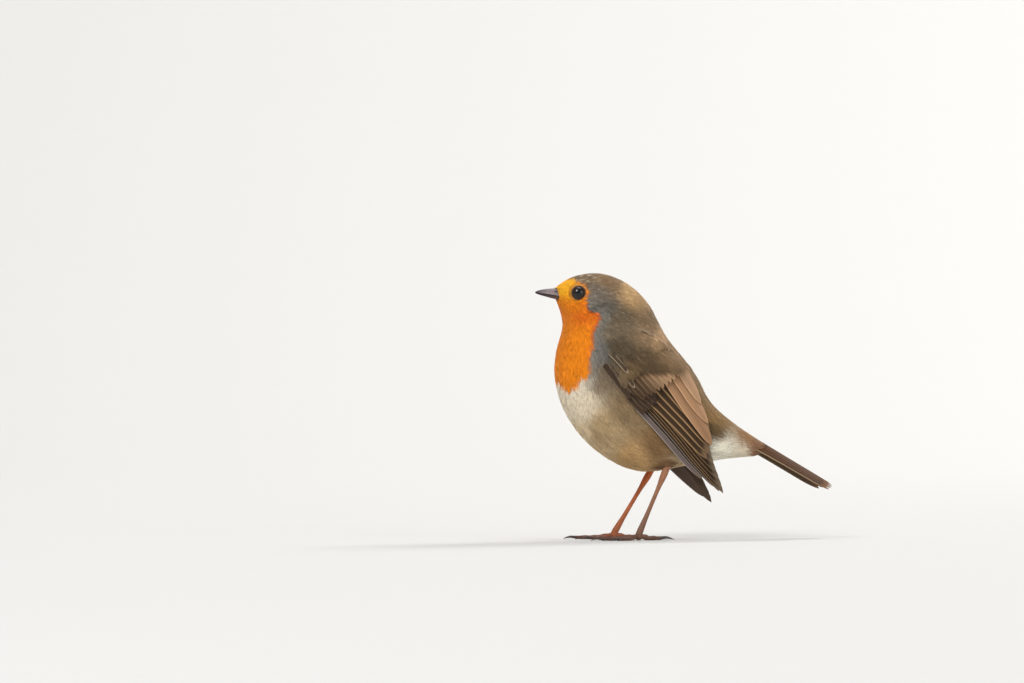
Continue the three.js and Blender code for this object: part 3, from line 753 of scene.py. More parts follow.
def kind_blend(points):
    """Shares of the kinds of feather at each place, in the order of COAT_KINDS."""
    at = side_view(points)
    up, across = at[:, 1], at[:, 0]
    face = smoothstep(-36.5, -42, across) * smoothstep(79, 84, up)
    head = smoothstep(74, 84, up) * (1 - face)
    neck = smoothstep(62, 72, up) * (1 - smoothstep(74, 84, up))
    tail = smoothstep(6, 18, across)
    body = (1 - smoothstep(62, 72, up)) * (1 - tail)
    dorsal = smoothstep(0.34, 0.18, round_from_back(points)) * body
    shares = np.stack([face, head, neck * (1 - tail), body - dorsal, dorsal, tail], axis=1)
    return shares / shares.sum(axis=1, keepdims=True)


def on_bill(points):
    """Whether the bill stands at a place of the skin."""
    straight = turned(points, -1) - [SHIFT, 0, BILL_HEIGHT]
    return (straight[:, 0] < FACE_FRONT) & (np.hypot(straight[:, 1], straight[:, 2]) < BILL_CLEARANCE)


def coat_roots():
    """Where the coat's tufts stand on the skin, with their normals and shares of the kinds of feather."""
    points, normals = skin.scatter(SCATTERED)
    shares = kind_blend(points)
    spacing = shares @ KIND_SIZES[:, 0]
    keep = thinned(points, np.round(spacing, 1))
    points, normals, shares = points[keep], normals[keep], shares[keep]
    bare = on_bill(points)
    bare |= (under_wing(points) > 0.98) & (down_the_wing(points) > 21)
    for centre, out in EYES.values():
        offset = points - centre
        height = offset @ out
        radial = np.linalg.norm(offset - height[:, None] * out, axis=1)
        bare |= (radial < LID_RADIUS + 0.3) & (height > 0)
    return points[~bare], normals[~bare], shares[~bare]


def coat_colours(tips):
    """The colours of the tufts' tips, and of their roots darkened as painted shade."""
    colour = plumage(tips)
    at = side_view(tips)
    orange = smoothstep(-0.5, 0.5, inside_by(at, ORANGE_EDGE))
    uneven = lerp(0.10, 0.07, orange) * rng.normal(0, 1, len(tips)) + 0.05 * wavy(at, 0.7, 6)
    streaks = wavy(at @ [[0.85, 0.1], [0.5, 0.1]], 0.5, 7)
    uneven = uneven + 0.10 * spot(at, [-24.0, 50.0], [9.0, 12.0]) * streaks
    colour = colour * (1 + uneven)[:, None]
    # Painted shade: each root is a darker copy of its tip's colour.
    root = colour * 0.9
    # Pale fringes speckle the fore crown.
    crown = smoothstep(-41, -39, at[:, 0]) * smoothstep(-29, -33, at[:, 0]) * smoothstep(92.5, 94.5, at[:, 1])
    speckle = (rng.random(len(tips)) < 0.26) * crown
    colour = mixed(colour, FRINGE, 0.65 * speckle)
    # Straw-coloured strands show among the others from the shoulder up.
    strand = (rng.random(len(tips)) < 0.10) * (1 - orange) * smoothstep(60, 66, at[:, 1])
    return np.clip(mixed(colour, colour * 1.35 + [0.03, 0.02, 0.01], strand), 0, 1), root


def grow_coat():
    points, normals, shares = coat_roots()
    _, length, width, lift = (shares @ KIND_SIZES).T
    length = length * rng.normal(1, 0.10, len(points))
    # The feathers stand looser on the nape and on the middle of the back.
    at = side_view(points)
    back, nape = spot(at, [1.5, 67.0], [9.0, 10.0]), spot(at, [-14.0, 89.0], [8.0, 7.0])
    middle = smoothstep(0.30, 0.16, round_from_back(points))
    lift = lift + middle * (1.3 * back + 0.9 * nape)
    length = length * (1 + 0.25 * middle * np.maximum(back, nape))
    lift = lift * (1 - 0.75 * hidden_by_wing(points, 17, 22))
    lines = traced(skin, points, normals, length, twist=rng.normal(0, 0.07, len(points)))
    return points, lines, length, width, lift, *coat_colours(lines[0][:, 2])


def region_of(points):
    """The coat piece that each root belongs to."""
    at = side_view(points)
    up, across = at[:, 1], at[:, 0]
    below = np.where(up > 50, "breast", "belly")
    body = np.where(round_from_back(points) < 0.27, "back", below)
    name = np.where(up > 83, "head", np.where(up > 70, "neck", body))
    name = np.where(across > 10, "rump", name)
    side = np.where(points[:, 1] < 0, "left", "right")
    return np.char.add(np.char.add(name.astype(str), "_"), side)


COAT_SLOTS = {
    "head": "plumage_orange", "neck": "plumage_orange", "breast": "plumage_orange",
    "belly": "plumage_belly", "back": "plumage_back", "rump": "plumage_back",
}
BLADES = 5
SPREAD = 0.16  # how far a tuft's outer blades part, for its length

roots, lines, length, width, lift, tip_colour, shaded_root_colour = grow_coat()
regions = region_of(roots)
for region in sorted(set(regions)):
    pick = regions == region
    some = tuple(a[pick] for a in lines)
    args = (length[pick], width[pick], lift[pick], BLADES, SPREAD, tip_colour[pick], shaded_root_colour[pick])
    coat_object(f"coat_{region}", [tufts(some, *args)], COAT_SLOTS[region.split("_")[0]])

# ---------------------------------------------------------------- feathers with a shaft and two vanes

COLUMNS = np.array([-1.0, -0.9, -0.84, -0.45, -0.07, 0.0, 0.07, 0.45, 0.84, 0.9, 1.0])
ROWS = 1 - (1 - np.linspace(0, 1, 15)) ** 1.5
SHAFT = 0.10
VANE_THICKNESS = 0.10
UNDER_GREY = srgb(150, 142, 132)
# What a feather is like unless its own look says otherwise.
FEATHER = {
    "web": srgb(84, 66, 50), "edge": srgb(150, 122, 92), "trail": None, "tip": None, "under": None,
    "fringe": 0.9, "point": 2.2, "round": 0.24, "slant": 0.8, "dome": 0.05, "tilt": 0.10, "sink": 0.0,
}


def quads(count_rows, count_columns):
    """The faces of a closed sheet made of an upper and a lower grid of places."""
    a = np.arange(count_rows * count_columns).reshape(count_rows, count_columns)
    b = a + a.size
    strips = [
        (a[:-1, :-1], a[:-1, 1:], a[1:, 1:], a[1:, :-1]),
        (b[:-1, :-1], b[1:, :-1], b[1:, 1:], b[:-1, 1:]),
        (a[:-1, 0], a[1:, 0], b[1:, 0], b[:-1, 0]),
        (a[1:, -1], a[:-1, -1], b[:-1, -1], b[1:, -1]),
        (a[0, 1:], a[0, :-1], b[0, :-1], b[0, 1:]),
        (a[-1, :-1], a[-1, 1:], b[-1, 1:], b[-1, :-1]),
    ]
    return np.concatenate([np.stack(s, axis=-1).reshape(-1, 4) for s in strips])


def feather(length, widths, surface, lift, look, mirrored=False):
    """One feather on a surface. `surface(along, across)` gives places and which way is out.

    `widths` are those of the leading and the trailing vane, and `look` its colours and shape.
    """
    style = FEATHER | look
    web, trail, under = style["web"], style["trail"], style["under"]
    t, u = np.meshgrid(ROWS, COLUMNS, indexing="ij")
    rounding = (np.clip(t - 1 + style["round"], 0, 1) / style["round"]) ** style["point"]
    profile = np.maximum(smoothstep(-0.25, 0.25, t) * np.clip(1 - rounding, 0, 1) ** 0.5, 0.03)
    width = np.where(u < 0, widths[0], widths[1]) * profile
    along = t * length - style["slant"] * np.abs(u) * width
    middle, out = surface(along, u * width)
    height = style["dome"] * (1 - u**2) - style["tilt"] * u * width - style["sink"] * (1 - t) ** 2
    shaft = SHAFT * (np.abs(u) < 0.01) * (1 - 0.75 * t)
    thin = VANE_THICKNESS * (1 - 0.8 * np.abs(u) ** 8)
    upper = middle + out * (lift + height + thin + shaft)[..., None]
    lower = middle + out * (lift + height)[..., None]
    points = np.concatenate([upper.reshape(-1, 3), lower.reshape(-1, 3)])
    faces = quads(len(ROWS), len(COLUMNS))
    if not mirrored:
        faces = faces[:, ::-1]

    colour = web * lerp(0.8, 1.0, smoothstep(0.0, 0.5, t))[..., None] * lerp(0.84, 1.08, np.abs(u))[..., None]
    colour = mixed(colour, style["edge"], smoothstep(-style["fringe"] + 0.06, -style["fringe"], u))
    colour = mixed(colour, web * 1.25 if trail is None else trail, smoothstep(0.84, 0.9, u))
    if style["tip"] is not None:
        colour = mixed(colour, style["tip"], smoothstep(0.90, 0.97, t))
    colour = mixed(colour, web * 0.55, 0.6 * (np.abs(u) < 0.01))
    below = lerp(colour, lerp(web, UNDER_GREY, 0.35) if under is None else under, 0.7)
    colours = np.concatenate([colour.reshape(-1, 3), below.reshape(-1, 3)])
    uv = np.stack([along, np.abs(u) * width], axis=-1).reshape(-1, 2) * 0.1
    return points, faces, colours, np.concatenate([uv, uv])


def feather_object(name, feathers, slot, *nodes):
    points, faces = joined([vane[:2] for vane in feathers])
    colours, uv = (np.concatenate([vane[i] for vane in feathers]) for i in (2, 3))
    obj = new_object(name, points, faces, VANE, colours, uv[faces.ravel()], "Vane")
    return place(obj, slot, *nodes)


# ---------------------------------------------------------------- the wings

TRUNK = ("neck", "breast", "belly", "back", "rump", "head")
body_points, body_faces = joined([mesh_of(name) for name in TRUNK])
body_tree = BVHTree.FromPolygons(body_points.tolist(), body_faces.tolist())
GRID_X = np.arange(-60, 61, 1.0)
GRID_Z = np.arange(0, 101, 1.0)


def half_width(x, z):
    hit = body_tree.ray_cast(Vector((x, 60, z)), Vector((0, -1, 0)))[0]
    return hit.y if hit and hit.y > 0 else 0.0


body_half = np.array([[half_width(x, z) for z in GRID_Z] for x in GRID_X])
for _ in range(8):
    padded = np.pad(body_half, 1, mode="edge")
    shifts = [padded[i:i + len(GRID_X), j:j + len(GRID_Z)] for i in range(3) for j in range(3)]
    body_half = sum(shifts) / 9

WING_JOINT = (-34.5 + SHIFT, 71.6)
WING_TIP = (12.7 + SHIFT, 16.9)
DROOPS = {"left": 0.0, "right": 0.052}  # how much lower each wing hangs, for each millimetre from its joint


def body_width(x, z):
    """Half the body's width at a place seen from the side."""
    i = np.clip((x - GRID_X[0]), 0, len(GRID_X) - 1.001)
    j = np.clip(z, 0, len(GRID_Z) - 1.001)
    a, b = i.astype(int), j.astype(int)
    s, t = i - a, j - b
    low = lerp(body_half[a, b], body_half[a + 1, b], s)
    return lerp(low, lerp(body_half[a, b + 1], body_half[a + 1, b + 1], s), t)


def rest(x, z):
    """How far from the middle plane a wing lies: on the body, or in the air behind and below it."""
    body = body_width(x, z)
    away = np.hypot(x - WING_TIP[0], z - WING_TIP[1])
    free = 8.0 + 0.33 * away - 0.0044 * away**2
    return (body + free + np.hypot(body - free, 2.5)) / 2


# A line along the upper edge of the folded wing, where its feathers come in to lie on the back.
UPPER_EDGE = ((-9.6 + SHIFT, 75.5), (12.9 + SHIFT, 35.5))


def over_back(x, z):
    """How far a place on the wing has come in over the back, 0 to 1."""
    (x0, z0), (x1, z1) = UPPER_EDGE
    size = math.hypot(x1 - x0, z1 - z0)
    inside = ((x - x0) * (z1 - z0) - (z - z0) * (x1 - x0)) / size
    return smoothstep(8.0, 1.5, inside)


def wing_width(x, z):
    """How far from the middle plane the folded wing lies, and how far it has come in over the back."""
    over = over_back(x, z)
    out = rest(x, z)
    return np.maximum(lerp(out, body_width(x, z) + 0.5, 0.9 * over), out - 4.5 * over), over


def wing_surface(side_name, base, tip):
    """A place on the wing for each distance along and across a feather from its base to its tip."""
    side, droop = SHOULDERS[side_name], DROOPS[side_name]
    base, tip = np.array(base) + [SHIFT, 0], np.array(tip) + [SHIFT, 0]
    ahead = (tip - base) / np.linalg.norm(tip - base)

    def surface(along, across):
        x = base[0] + ahead[0] * along - ahead[1] * across
        z = base[1] + ahead[1] * along + ahead[0] * across
        z = z - droop * np.hypot(x - WING_JOINT[0], z - WING_JOINT[1])
        out, over = wing_width(x, z)
        ways = np.stack([0.5 * over, side + 0 * over, 0.5 * over], axis=-1)
        return np.stack([x, side * out, z], axis=-1), unit(ways) * (1 - 0.62 * over)[..., None]

    return surface, float(np.linalg.norm(tip - base))


PRIMARIES = [
    ((-25.2, 53.0), (4.4, 22.0)), ((-26.0, 54.8), (8.5, 19.5)), ((-25.4, 55.8), (11.1, 17.6)),
    ((-24.8, 56.8), (12.7, 16.9)), ((-24.2, 57.8), (12.0, 18.6)), ((-23.6, 58.6), (10.7, 21.5)),
    ((-23.0, 59.4), (9.4, 24.4)), ((-22.4, 60.2), (8.3, 27.3)), ((-21.8, 61.0), (7.4, 30.0)),
]
SECONDARIES = [
    ((-23.8, 57.4), (5.6, 29.4)), ((-21.8, 59.2), (6.2, 31.4)), ((-19.8, 61.0), (6.4, 33.8)),
    ((-17.8, 62.8), (6.2, 36.2)), ((-15.8, 64.4), (5.6, 38.8)), ((-13.8, 65.6), (4.8, 41.4)),
]
TERTIALS = [((-13.6, 63.4), (7.0, 34.2)), ((-10.6, 65.4), (5.0, 41.6)), ((-8.0, 66.6), (2.6, 48.6))]

QUILL = srgb(58, 44, 32)
BUFF_EDGE = srgb(178, 142, 100)


def flight_feathers(side_name):
    """The feathers of a folded wing by group, each group from the outermost feather inwards."""
    made = {"primaries": [], "secondaries": [], "tertials": []}

    def add(group, line, widths, lift, look):
        surface, length = wing_surface(side_name, *line)
        made[group].append(feather(length, widths, surface, lift, look, SHOULDERS[side_name] > 0))

    for i, (base, tip) in enumerate(PRIMARIES):
        if side_name == "right" and i < 3:
            # The right wing's outer primaries end nearer to the tip of its longest.
            tip = lerp(np.array(tip), PRIMARIES[3][1], 0.6)
        look = {
            "web": srgb(112, 98, 94) if i == 0 else QUILL,
            "edge": srgb(168, 158, 150) if i < 3 else BUFF_EDGE,
            "tip": srgb(120, 102, 84), "point": 1.7, "round": 0.34, "under": srgb(84, 70, 60),
        }
        add("primaries", (base, tip), (1.7, 3.0) if i == 0 else (1.0, 3.6), 0.35 + 0.13 * i, look)
    for i, line in enumerate(SECONDARIES):
        look = {"web": srgb(72, 55, 40), "edge": BUFF_EDGE, "tip": srgb(130, 104, 78), "fringe": 0.86}
        add("secondaries", line, (1.25, 4.0), 1.6 + 0.2 * i, look)
    for i, line in enumerate(TERTIALS):
        look = {
            "web": (srgb(166, 127, 94), srgb(170, 130, 96), srgb(172, 134, 100))[i],
            "edge": srgb(206, 160, 122), "trail": srgb(150, 112, 80),
            "tip": srgb(172, 132, 98), "point": 1.9, "round": 0.42, "slant": 0.7,
        }
        add("tertials", line, (2.3, 3.0), 2.85 + 0.24 * i, look)
    return made


def covert_feathers(side_name):
    made = []

    def add(base, end, widths, lift, **look):
        surface, length = wing_surface(side_name, base, end)
        made.append(feather(length, widths, surface, lift, look, SHOULDERS[side_name] > 0))

    # The primary coverts and the small feathers of the thumb, along the leading edge.
    for i in range(5):
        t = i / 4
        base = (lerp(-31.2, -26.0, t), lerp(60.0, 62.5, t))
        end = (lerp(-19.5, -14.5, t), lerp(45.6, 49.6, t))
        look = {"web": srgb(72, 56, 44), "edge": srgb(124, 104, 84), "point": 1.8, "sink": 1.4}
        add(base, end, (1.1, 2.4), 2.1 + 0.18 * i, **look)
    for i in range(3):
        base = (-33.4 + 1.8 * i, 63.4 + 1.4 * i)
        end = (-24.6 + 2.4 * i, 51.4 + 1.0 * i)
        look = {"web": srgb(74, 58, 46), "edge": srgb(136, 116, 94), "point": 1.8, "sink": 2.6}
        add(base, end, (1.3, 2.2), 3.1 + 0.16 * i, **look)
    # The great coverts, narrow and closely laid.
    for i in range(11):
        t = i / 10
        base = (lerp(-27.4, -14.4, t), lerp(60.8, 70.6, t))
        end = (lerp(-19.4, -5.2, t), lerp(50.6, 60.0, t))
        tone = lerp(srgb(80, 62, 46), srgb(172, 137, 104), smoothstep(0.1, 0.7, t))
        edge = lerp(srgb(146, 117, 84), srgb(204, 164, 124), t)
        look = {"web": tone, "edge": edge, "trail": tone, "tip": tone, "round": 0.6, "slant": 0.5}
        add(base, end, (1.0, 2.5), 3.7 + 0.10 * i, sink=lerp(1.6, 4.4, t), **look)
    # Two outer coverts with pale rims at their tips.
    pale = srgb(160, 143, 120)
    look = {
        "web": srgb(80, 64, 48), "edge": pale, "trail": pale, "tip": pale,
        "round": 0.2, "sink": 3.6, "fringe": 0.86, "tilt": 0.0, "point": 3.0,
    }
    add((-33.6, 71.0), (-25.6, 60.6), (0.8, 0.9), 4.5, **look)
    add((-29.4, 64.4), (-23.3, 55.3), (0.8, 0.9), 4.2, **look)
    return made


class WingTop:
    """The outside of a folded wing, at a height above where it rests on the body."""

    def __init__(self, side_name, height):
        self.side, self.height = SHOULDERS[side_name], height

    def nearest(self, places):
        x, z = places[:, 0], places[:, 2]
        out = wing_width(x, z)[0]
        slope_x = wing_width(x + 0.5, z)[0] - wing_width(x - 0.5, z)[0]
        slope_z = wing_width(x, z + 0.5)[0] - wing_width(x, z - 0.5)[0]
        normals = unit(np.stack([-slope_x, np.full(len(x), self.side), -slope_z], axis=1))
        return np.stack([x, self.side * (out + self.height), z], axis=1), normals


def shoulder_feathers(side_name):
    """Long loose feathers that fall from the shoulder over the wing's coverts."""
    count = 420
    t, off = rng.random(count) ** 0.8, rng.normal(0, 1, count)
    x = lerp(-26.0, -9.5, t) + off * 0.8 + SHIFT
    z = lerp(64.6, 68.6, t) + np.abs(off) * lerp(0.9, 0.3, t)
    z = z - DROOPS[side_name] * np.hypot(x - WING_JOINT[0], z - WING_JOINT[1])
    surface = WingTop(side_name, 3.8)
    roots, normals = surface.nearest(np.stack([x, 0 * x, z], axis=1))
    slope = lerp(0.50, 0.68, t) + rng.normal(0, 0.06, count)
    ways = along_surface(np.stack([slope, 0 * x, -np.sqrt(1 - slope**2)], axis=1), normals)
    size = lerp(5.6, 12.0, t**1.5) * rng.normal(1, 0.16, count)
    lines = traced(surface, roots, normals, size, ways)
    tone = lerp(plumage(lines[0][:, 1]), srgb(112, 88, 62), 0.3)
    tone = tone * (1 + rng.normal(0, 0.10, (count, 1)))
    pale = rng.random(count) < 0.14
    tone = np.where(pale[:, None], tone * 1.35 + [0.03, 0.025, 0.015], tone)
    rise = lerp(1.0, 1.3, rng.random(count)) + 0.35 * t
    # Painted shade: the roots are a darker copy of the tips' tone.
    return tufts(lines, size, np.where(pale, 0.2, 0.36), rise, 6, 0.10, np.clip(tone, 0, 1), tone * 0.8)


for name in SHOULDERS:
    coat_object(f"coat_shoulder_{name}", [shoulder_feathers(name)], "plumage_back")
    for group, made in flight_feathers(name).items():
        feather_object(f"wing_{name}_{group}_vanes", made, "flight_feathers", f"wing_{name}_{group}")
    feather_object(f"wing_{name}_covert_vanes", covert_feathers(name), "wing_coverts")

# ---------------------------------------------------------------- the tail

TAIL_ROOT = np.array([25.6 + SHIFT, 36.6])
TAIL_TIP = np.array([53.8 + SHIFT, 20.0])
TAIL_LENGTH = float(np.linalg.norm(TAIL_TIP - TAIL_ROOT))
TAIL_AHEAD = (TAIL_TIP - TAIL_ROOT) / TAIL_LENGTH
TAIL_UP = np.array([-TAIL_AHEAD[1], TAIL_AHEAD[0]])
TAIL_INSET = 6.0  # how far the tail's feathers reach into the rump
TAIL_DROP = 2.9  # how far its edges hang below its middle
TAIL_HALVES = (4.4, 8.6)  # half its width at the rump and at its end


def tail_surface(side, pair):
    share_across = (pair + 0.30) / 6

    def surface(along, across):
        distance = along - TAIL_INSET
        share = np.clip(distance / TAIL_LENGTH, 0, 1.1)
        half = lerp(*TAIL_HALVES, np.sqrt(share))
        y = share_across * half - across
        drop = TAIL_DROP * np.clip(np.abs(y) / half, 0, 1.1) ** 2
        x = TAIL_ROOT[0] + TAIL_AHEAD[0] * distance - TAIL_UP[0] * drop
        z = TAIL_ROOT[1] + TAIL_AHEAD[1] * distance - TAIL_UP[1] * drop
        slope = 2 * TAIL_DROP * y / half**2
        out = np.stack([TAIL_UP[0] + 0 * y, side * slope, TAIL_UP[1] + 0 * y], axis=-1)
        return np.stack([x, side * y, z], axis=-1), unit(out)

    return surface


def tail_feathers(side):
    made = []
    for pair in range(5, -1, -1):
        # The middle and the outermost pairs are the shortest.
        reach = 1.6 / 36 * (math.sin(math.pi * (pair + 0.5) / 6) - 0.4)
        length = TAIL_LENGTH * (1 + reach) + TAIL_INSET
        look = {
            "web": srgb(54, 36, 22) if pair else srgb(92, 60, 36),
            "edge": srgb(150, 124, 94) if pair == 5 else srgb(112, 72, 42),
            "trail": srgb(48, 32, 20), "tip": srgb(128, 90, 58), "under": srgb(84, 66, 50),
            "fringe": 0.86, "point": 1.8, "round": 0.16, "dome": 0.08, "tilt": 0.06,
        }
        widths = (1.25, 3.6) if pair else (1.6, 2.3)
        made.append(feather(length, widths, tail_surface(side, pair), 0.5 - 0.12 * pair, look, side > 0))
    return made


for name, side in SHOULDERS.items():
    feather_object(f"tail_{name}_vanes", tail_feathers(side), "tail_feathers", f"tail_{name}")

# ---------------------------------------------------------------- bars and spikes swept along a path


def curve(points, count):
    """Places evenly spread along a smooth path through some points."""
    points = np.array(points, float)
    padded = np.concatenate([[2 * points[0] - points[1]], points, [2 * points[-1] - points[-2]]])
    fine = []
    for i in range(len(points) - 1):
        a, b, c, d = padded[i:i + 4]
        t = np.linspace(0, 1, 24, endpoint=i == len(points) - 2)[:, None]
        bend = 2 * b + (c - a) * t + (2 * a - 5 * b + 4 * c - d) * t**2
        fine.append(0.5 * (bend + (3 * b - a - 3 * c + d) * t**3))
    fine = np.concatenate(fine)
    step = np.concatenate([[0], np.cumsum(np.linalg.norm(np.diff(fine, axis=0), axis=1))])
    even = np.linspace(0, step[-1], count)
    return np.stack([np.interp(even, step, fine[:, k]) for k in range(fine.shape[1])], axis=1)


def tube_faces(rows, sides):
    """The triangles of a tube made of rings of places, closed at either end by a fan to one place more."""
    a = np.arange(rows * sides).reshape(rows, sides)
    b = np.roll(a, -1, axis=1)
    walls = np.stack([a[:-1], a[1:], b[1:], b[:-1]], axis=-1).reshape(-1, 4)
    first = np.stack([a[0], b[0], np.full(sides, a.size)], axis=-1)
    last = np.stack([b[-1], a[-1], np.full(sides, a.size + 1)], axis=-1)
    return np.concatenate([walls[:, [0, 1, 2]], walls[:, [0, 2, 3]], first, last])


def swept(path, radii, sides, shape):
    """A bar along a path. `shape(share, angle)` scales its radius. The angle is a quarter turn at its top."""
    ahead = unit(np.gradient(path, axis=0))
    across = unit(np.cross(ahead, [0.0, 0.0, 1.0]))
    over = np.cross(across, ahead)
    angle = np.arange(sides) / sides * 2 * math.pi
    share = np.linspace(0, 1, len(path))
    radius = np.interp(share, np.linspace(0, 1, len(radii)), radii)[:, None]
    radius = radius * shape(share[:, None], angle[None])
    ring = across[:, None] * np.cos(angle)[None, :, None] + over[:, None] * np.sin(angle)[None, :, None]
    points = path[:, None] + ring * radius[..., None]
    return np.concatenate([points.reshape(-1, 3), path[:1], path[-1:]]), tube_faces(len(path), sides)


def egg(centre, radii, rings, sides, axes):
    """A ball stretched along three axes, with its poles along the third."""
    lat = np.linspace(0, math.pi, rings + 1)[1:-1, None]
    lon = np.arange(sides) / sides * 2 * math.pi
    ring = [np.sin(lat) * np.cos(lon), np.sin(lat) * np.sin(lon), np.cos(lat) + 0 * lon]
    points = np.concatenate([np.stack(ring, axis=-1).reshape(-1, 3), [[0, 0, 1], [0, 0, -1]]]) * radii
    return points @ np.array(axes) + centre, tube_faces(rings - 1, sides)[:, ::-1]


# ---------------------------------------------------------------- the bill

# Each place along the bill: x, its top, the line of the mouth, its bottom, and half its width.
BILL = np.array(
    [
        (-43.0, 90.2, 87.0, 86.4, 1.9), (-44.8, 90.7, 87.5, 86.7, 2.35), (-46.4, 91.1, 88.1, 87.1, 2.3),
        (-49.2, 91.3, 88.75, 87.7, 1.75), (-52.4, 91.1, 89.3, 88.5, 1.15), (-55.1, 90.6, 89.7, 89.25, 0.6),
        (-56.2, 90.2, 89.95, 89.6, 0.22),
    ],
    float,
)
BILL_SIDES = 84
NOSTRIL = (-48.7, 90.15)
MOUTH_LINE_SHADE = srgb(26, 20, 18)


def make_bill(upper):
    """One half of the bill, which also returns its mesh for the feathers round it."""
    rows = curve(BILL, 90)
    angle = np.arange(BILL_SIDES) / BILL_SIDES * 2 * math.pi
    cosine, sine = np.cos(angle), np.sin(angle)
    x = rows[:, :1] + 0 * angle
    top, mouth, bottom, half = (rows[:, i:i + 1] for i in range(1, 5))
    taper = smoothstep(-56.4, -54.8, rows[:, :1])  # both halves thin out towards the tip
    sideways = np.sign(cosine) * np.abs(cosine) ** 0.85
    if upper:
        roof = np.sign(sine) * np.abs(sine) ** 0.92
        z = mouth + 0.06 * taper + (top - mouth) * np.where(sine > 0, roof, 0.10 * sine * taper)
        y = half * sideways
        # The nostril is a slit in a shallow hollow on each side.
        ahead, above = x - NOSTRIL[0], z - NOSTRIL[1]
        hollow = np.exp(-(((ahead - 0.2) / 1.0) ** 2) - (above / 0.5) ** 2)
        slit = np.exp(-((ahead / 0.5) ** 2) ** 2 - ((above + 0.1 * ahead) / 0.2) ** 4)
        y = y - np.sign(y) * (0.16 * hollow + 0.2 * slit)
    else:
        z = mouth - 0.08 * taper + (mouth - bottom) * np.where(sine < 0, sine, 0.10 * sine * taper)
        y = half * 0.93 * sideways
    points = np.stack([x + SHIFT, y, z], axis=-1)
    ends = np.array([[rows[0, 0] + SHIFT, 0, rows[0, 2]], [rows[-1, 0] - 0.06 + SHIFT, 0, z[-1].mean()]])
    points = turned(np.concatenate([points.reshape(-1, 3), ends]))
    faces = tube_faces(len(rows), BILL_SIDES)

    along = (x + 56.2) / 10
    if upper:
        colour = mixed(srgb(70, 62, 62), srgb(134, 120, 122), smoothstep(0.05, 0.5, along))
        colour = mixed(colour, srgb(96, 84, 82), smoothstep(0.6, 0.95, along)) * 0.96
        # A pale band along the cutting edge: the horn's paler edge with a painted sheen.
        edge = smoothstep(1.0, 0.4, z - mouth)
        colour = mixed(colour, srgb(156, 140, 140), 0.55 * edge * smoothstep(0.0, 0.3, along))
        # Painted shade: a dark line where the two halves of the bill meet.
        colour = mixed(colour, MOUTH_LINE_SHADE, smoothstep(0.16, 0.08, z - mouth))
        # Painted shade: the nostril slit is near black, for the shade inside it.
        colour = mixed(colour, srgb(20, 16, 14), np.clip(slit * 1.3, 0, 1))
        colour = mixed(colour, srgb(60, 52, 52), 0.6 * smoothstep(0.75, 1.0, sine)[None])
    else:
        colour = mixed(srgb(58, 48, 46), srgb(98, 72, 60), smoothstep(0.4, 0.9, along))
        # Painted shade: a dark line where the two halves of the bill meet.
        colour = mixed(colour, MOUTH_LINE_SHADE, smoothstep(0.2, 0.1, mouth - z))
    gape = smoothstep(-46.6, -44.6, x) * smoothstep(1.0, 0.2, np.abs(z - mouth))
    colour = mixed(colour, srgb(176, 108, 88), 0.8 * gape)
    colour = np.concatenate([colour.reshape(-1, 3), colour[0, :1], colour[-1, :1]])
    name = "upper" if upper else "lower"
    obj = new_object(f"bill_{name}_horn", points, faces, HORN, colour)
    place(obj, "bill", f"bill_{name}")
    return points, faces


horn_surface = Surface(*joined([make_bill(True), make_bill(False)]))


# How far forward the face's feathers reach over the bill: the angle above its side, and the place along it.
FACE_EDGE = np.array([(-90, -48.9), (-50, -48.4), (0, -48.0), (40, -48.2), (90, -49.2)], float)


def bill_feathers():
    """Small feathers that point forwards over the base of the bill."""
    count = 300
    angle = rng.uniform(-90, 90, count)
    side = rng.choice([-1.0, 1.0], count)
    size = rng.normal(1.5, 0.2, count)
    ahead = np.interp(angle, *FACE_EDGE.T) + rng.random(count) ** 1.3 * 1.3
    tilt = np.radians(angle)
    around = np.stack([ahead + size + SHIFT, side * 3.2 * np.cos(tilt), 88.6 + 3.2 * np.sin(tilt)], axis=1)
    roots, normals = horn_surface.nearest(turned(around))
    ways = turned(np.tile([-1.0 + HEAD_PIVOT_X, 0, 0], (count, 1))) - [HEAD_PIVOT_X, 0, 0]
    ways = along_surface(ways, normals)
    lines = traced(horn_surface, roots, normals, size, ways, rng.normal(0, 0.12, count))
    tone = plumage(lines[0][:, 0] + [2.0, 0, 0]) * (1 + rng.normal(0, 0.06, (count, 1)))
    tone = np.clip(tone, 0, 1)
    # Painted shade: the roots are a darker copy of the tips' tone.
    return tufts(lines, size, np.full(count, 0.15), np.full(count, 0.45), 4, 0.14, tone, tone * 0.85)


coat_object("coat_bill_base", [bill_feathers()], "plumage_orange")

# ---------------------------------------------------------------- the eyes

# The lid's section, from its inner edge over the rim and down the outer slope: how far out, how high.
LID_SECTION = [
    (-0.16, -0.1), (-0.14, 0.14), (0.02, 0.24), (0.2, 0.2),
    (0.34, 0.0), (0.62, -0.5), (1.0, -1.5), (0.2, -1.5),
]
LID_SIDES = 96


def eye_axes(out):
    """Across and up over an eye, seen from the way it looks."""
    side = unit(np.cross(out, [0.0, 0.0, 1.0]))
    return side, np.cross(side, out)


def ring_points(centre, out, radius, height, count):
    """Places on a circle round an eye, with their directions from its axis and their angles."""
    side, up = eye_axes(out)
    angle = np.arange(count) / count * 2 * math.pi
    ring = side * np.cos(angle)[:, None] + up * np.sin(angle)[:, None]
    return centre + out * height + ring * radius, ring, angle


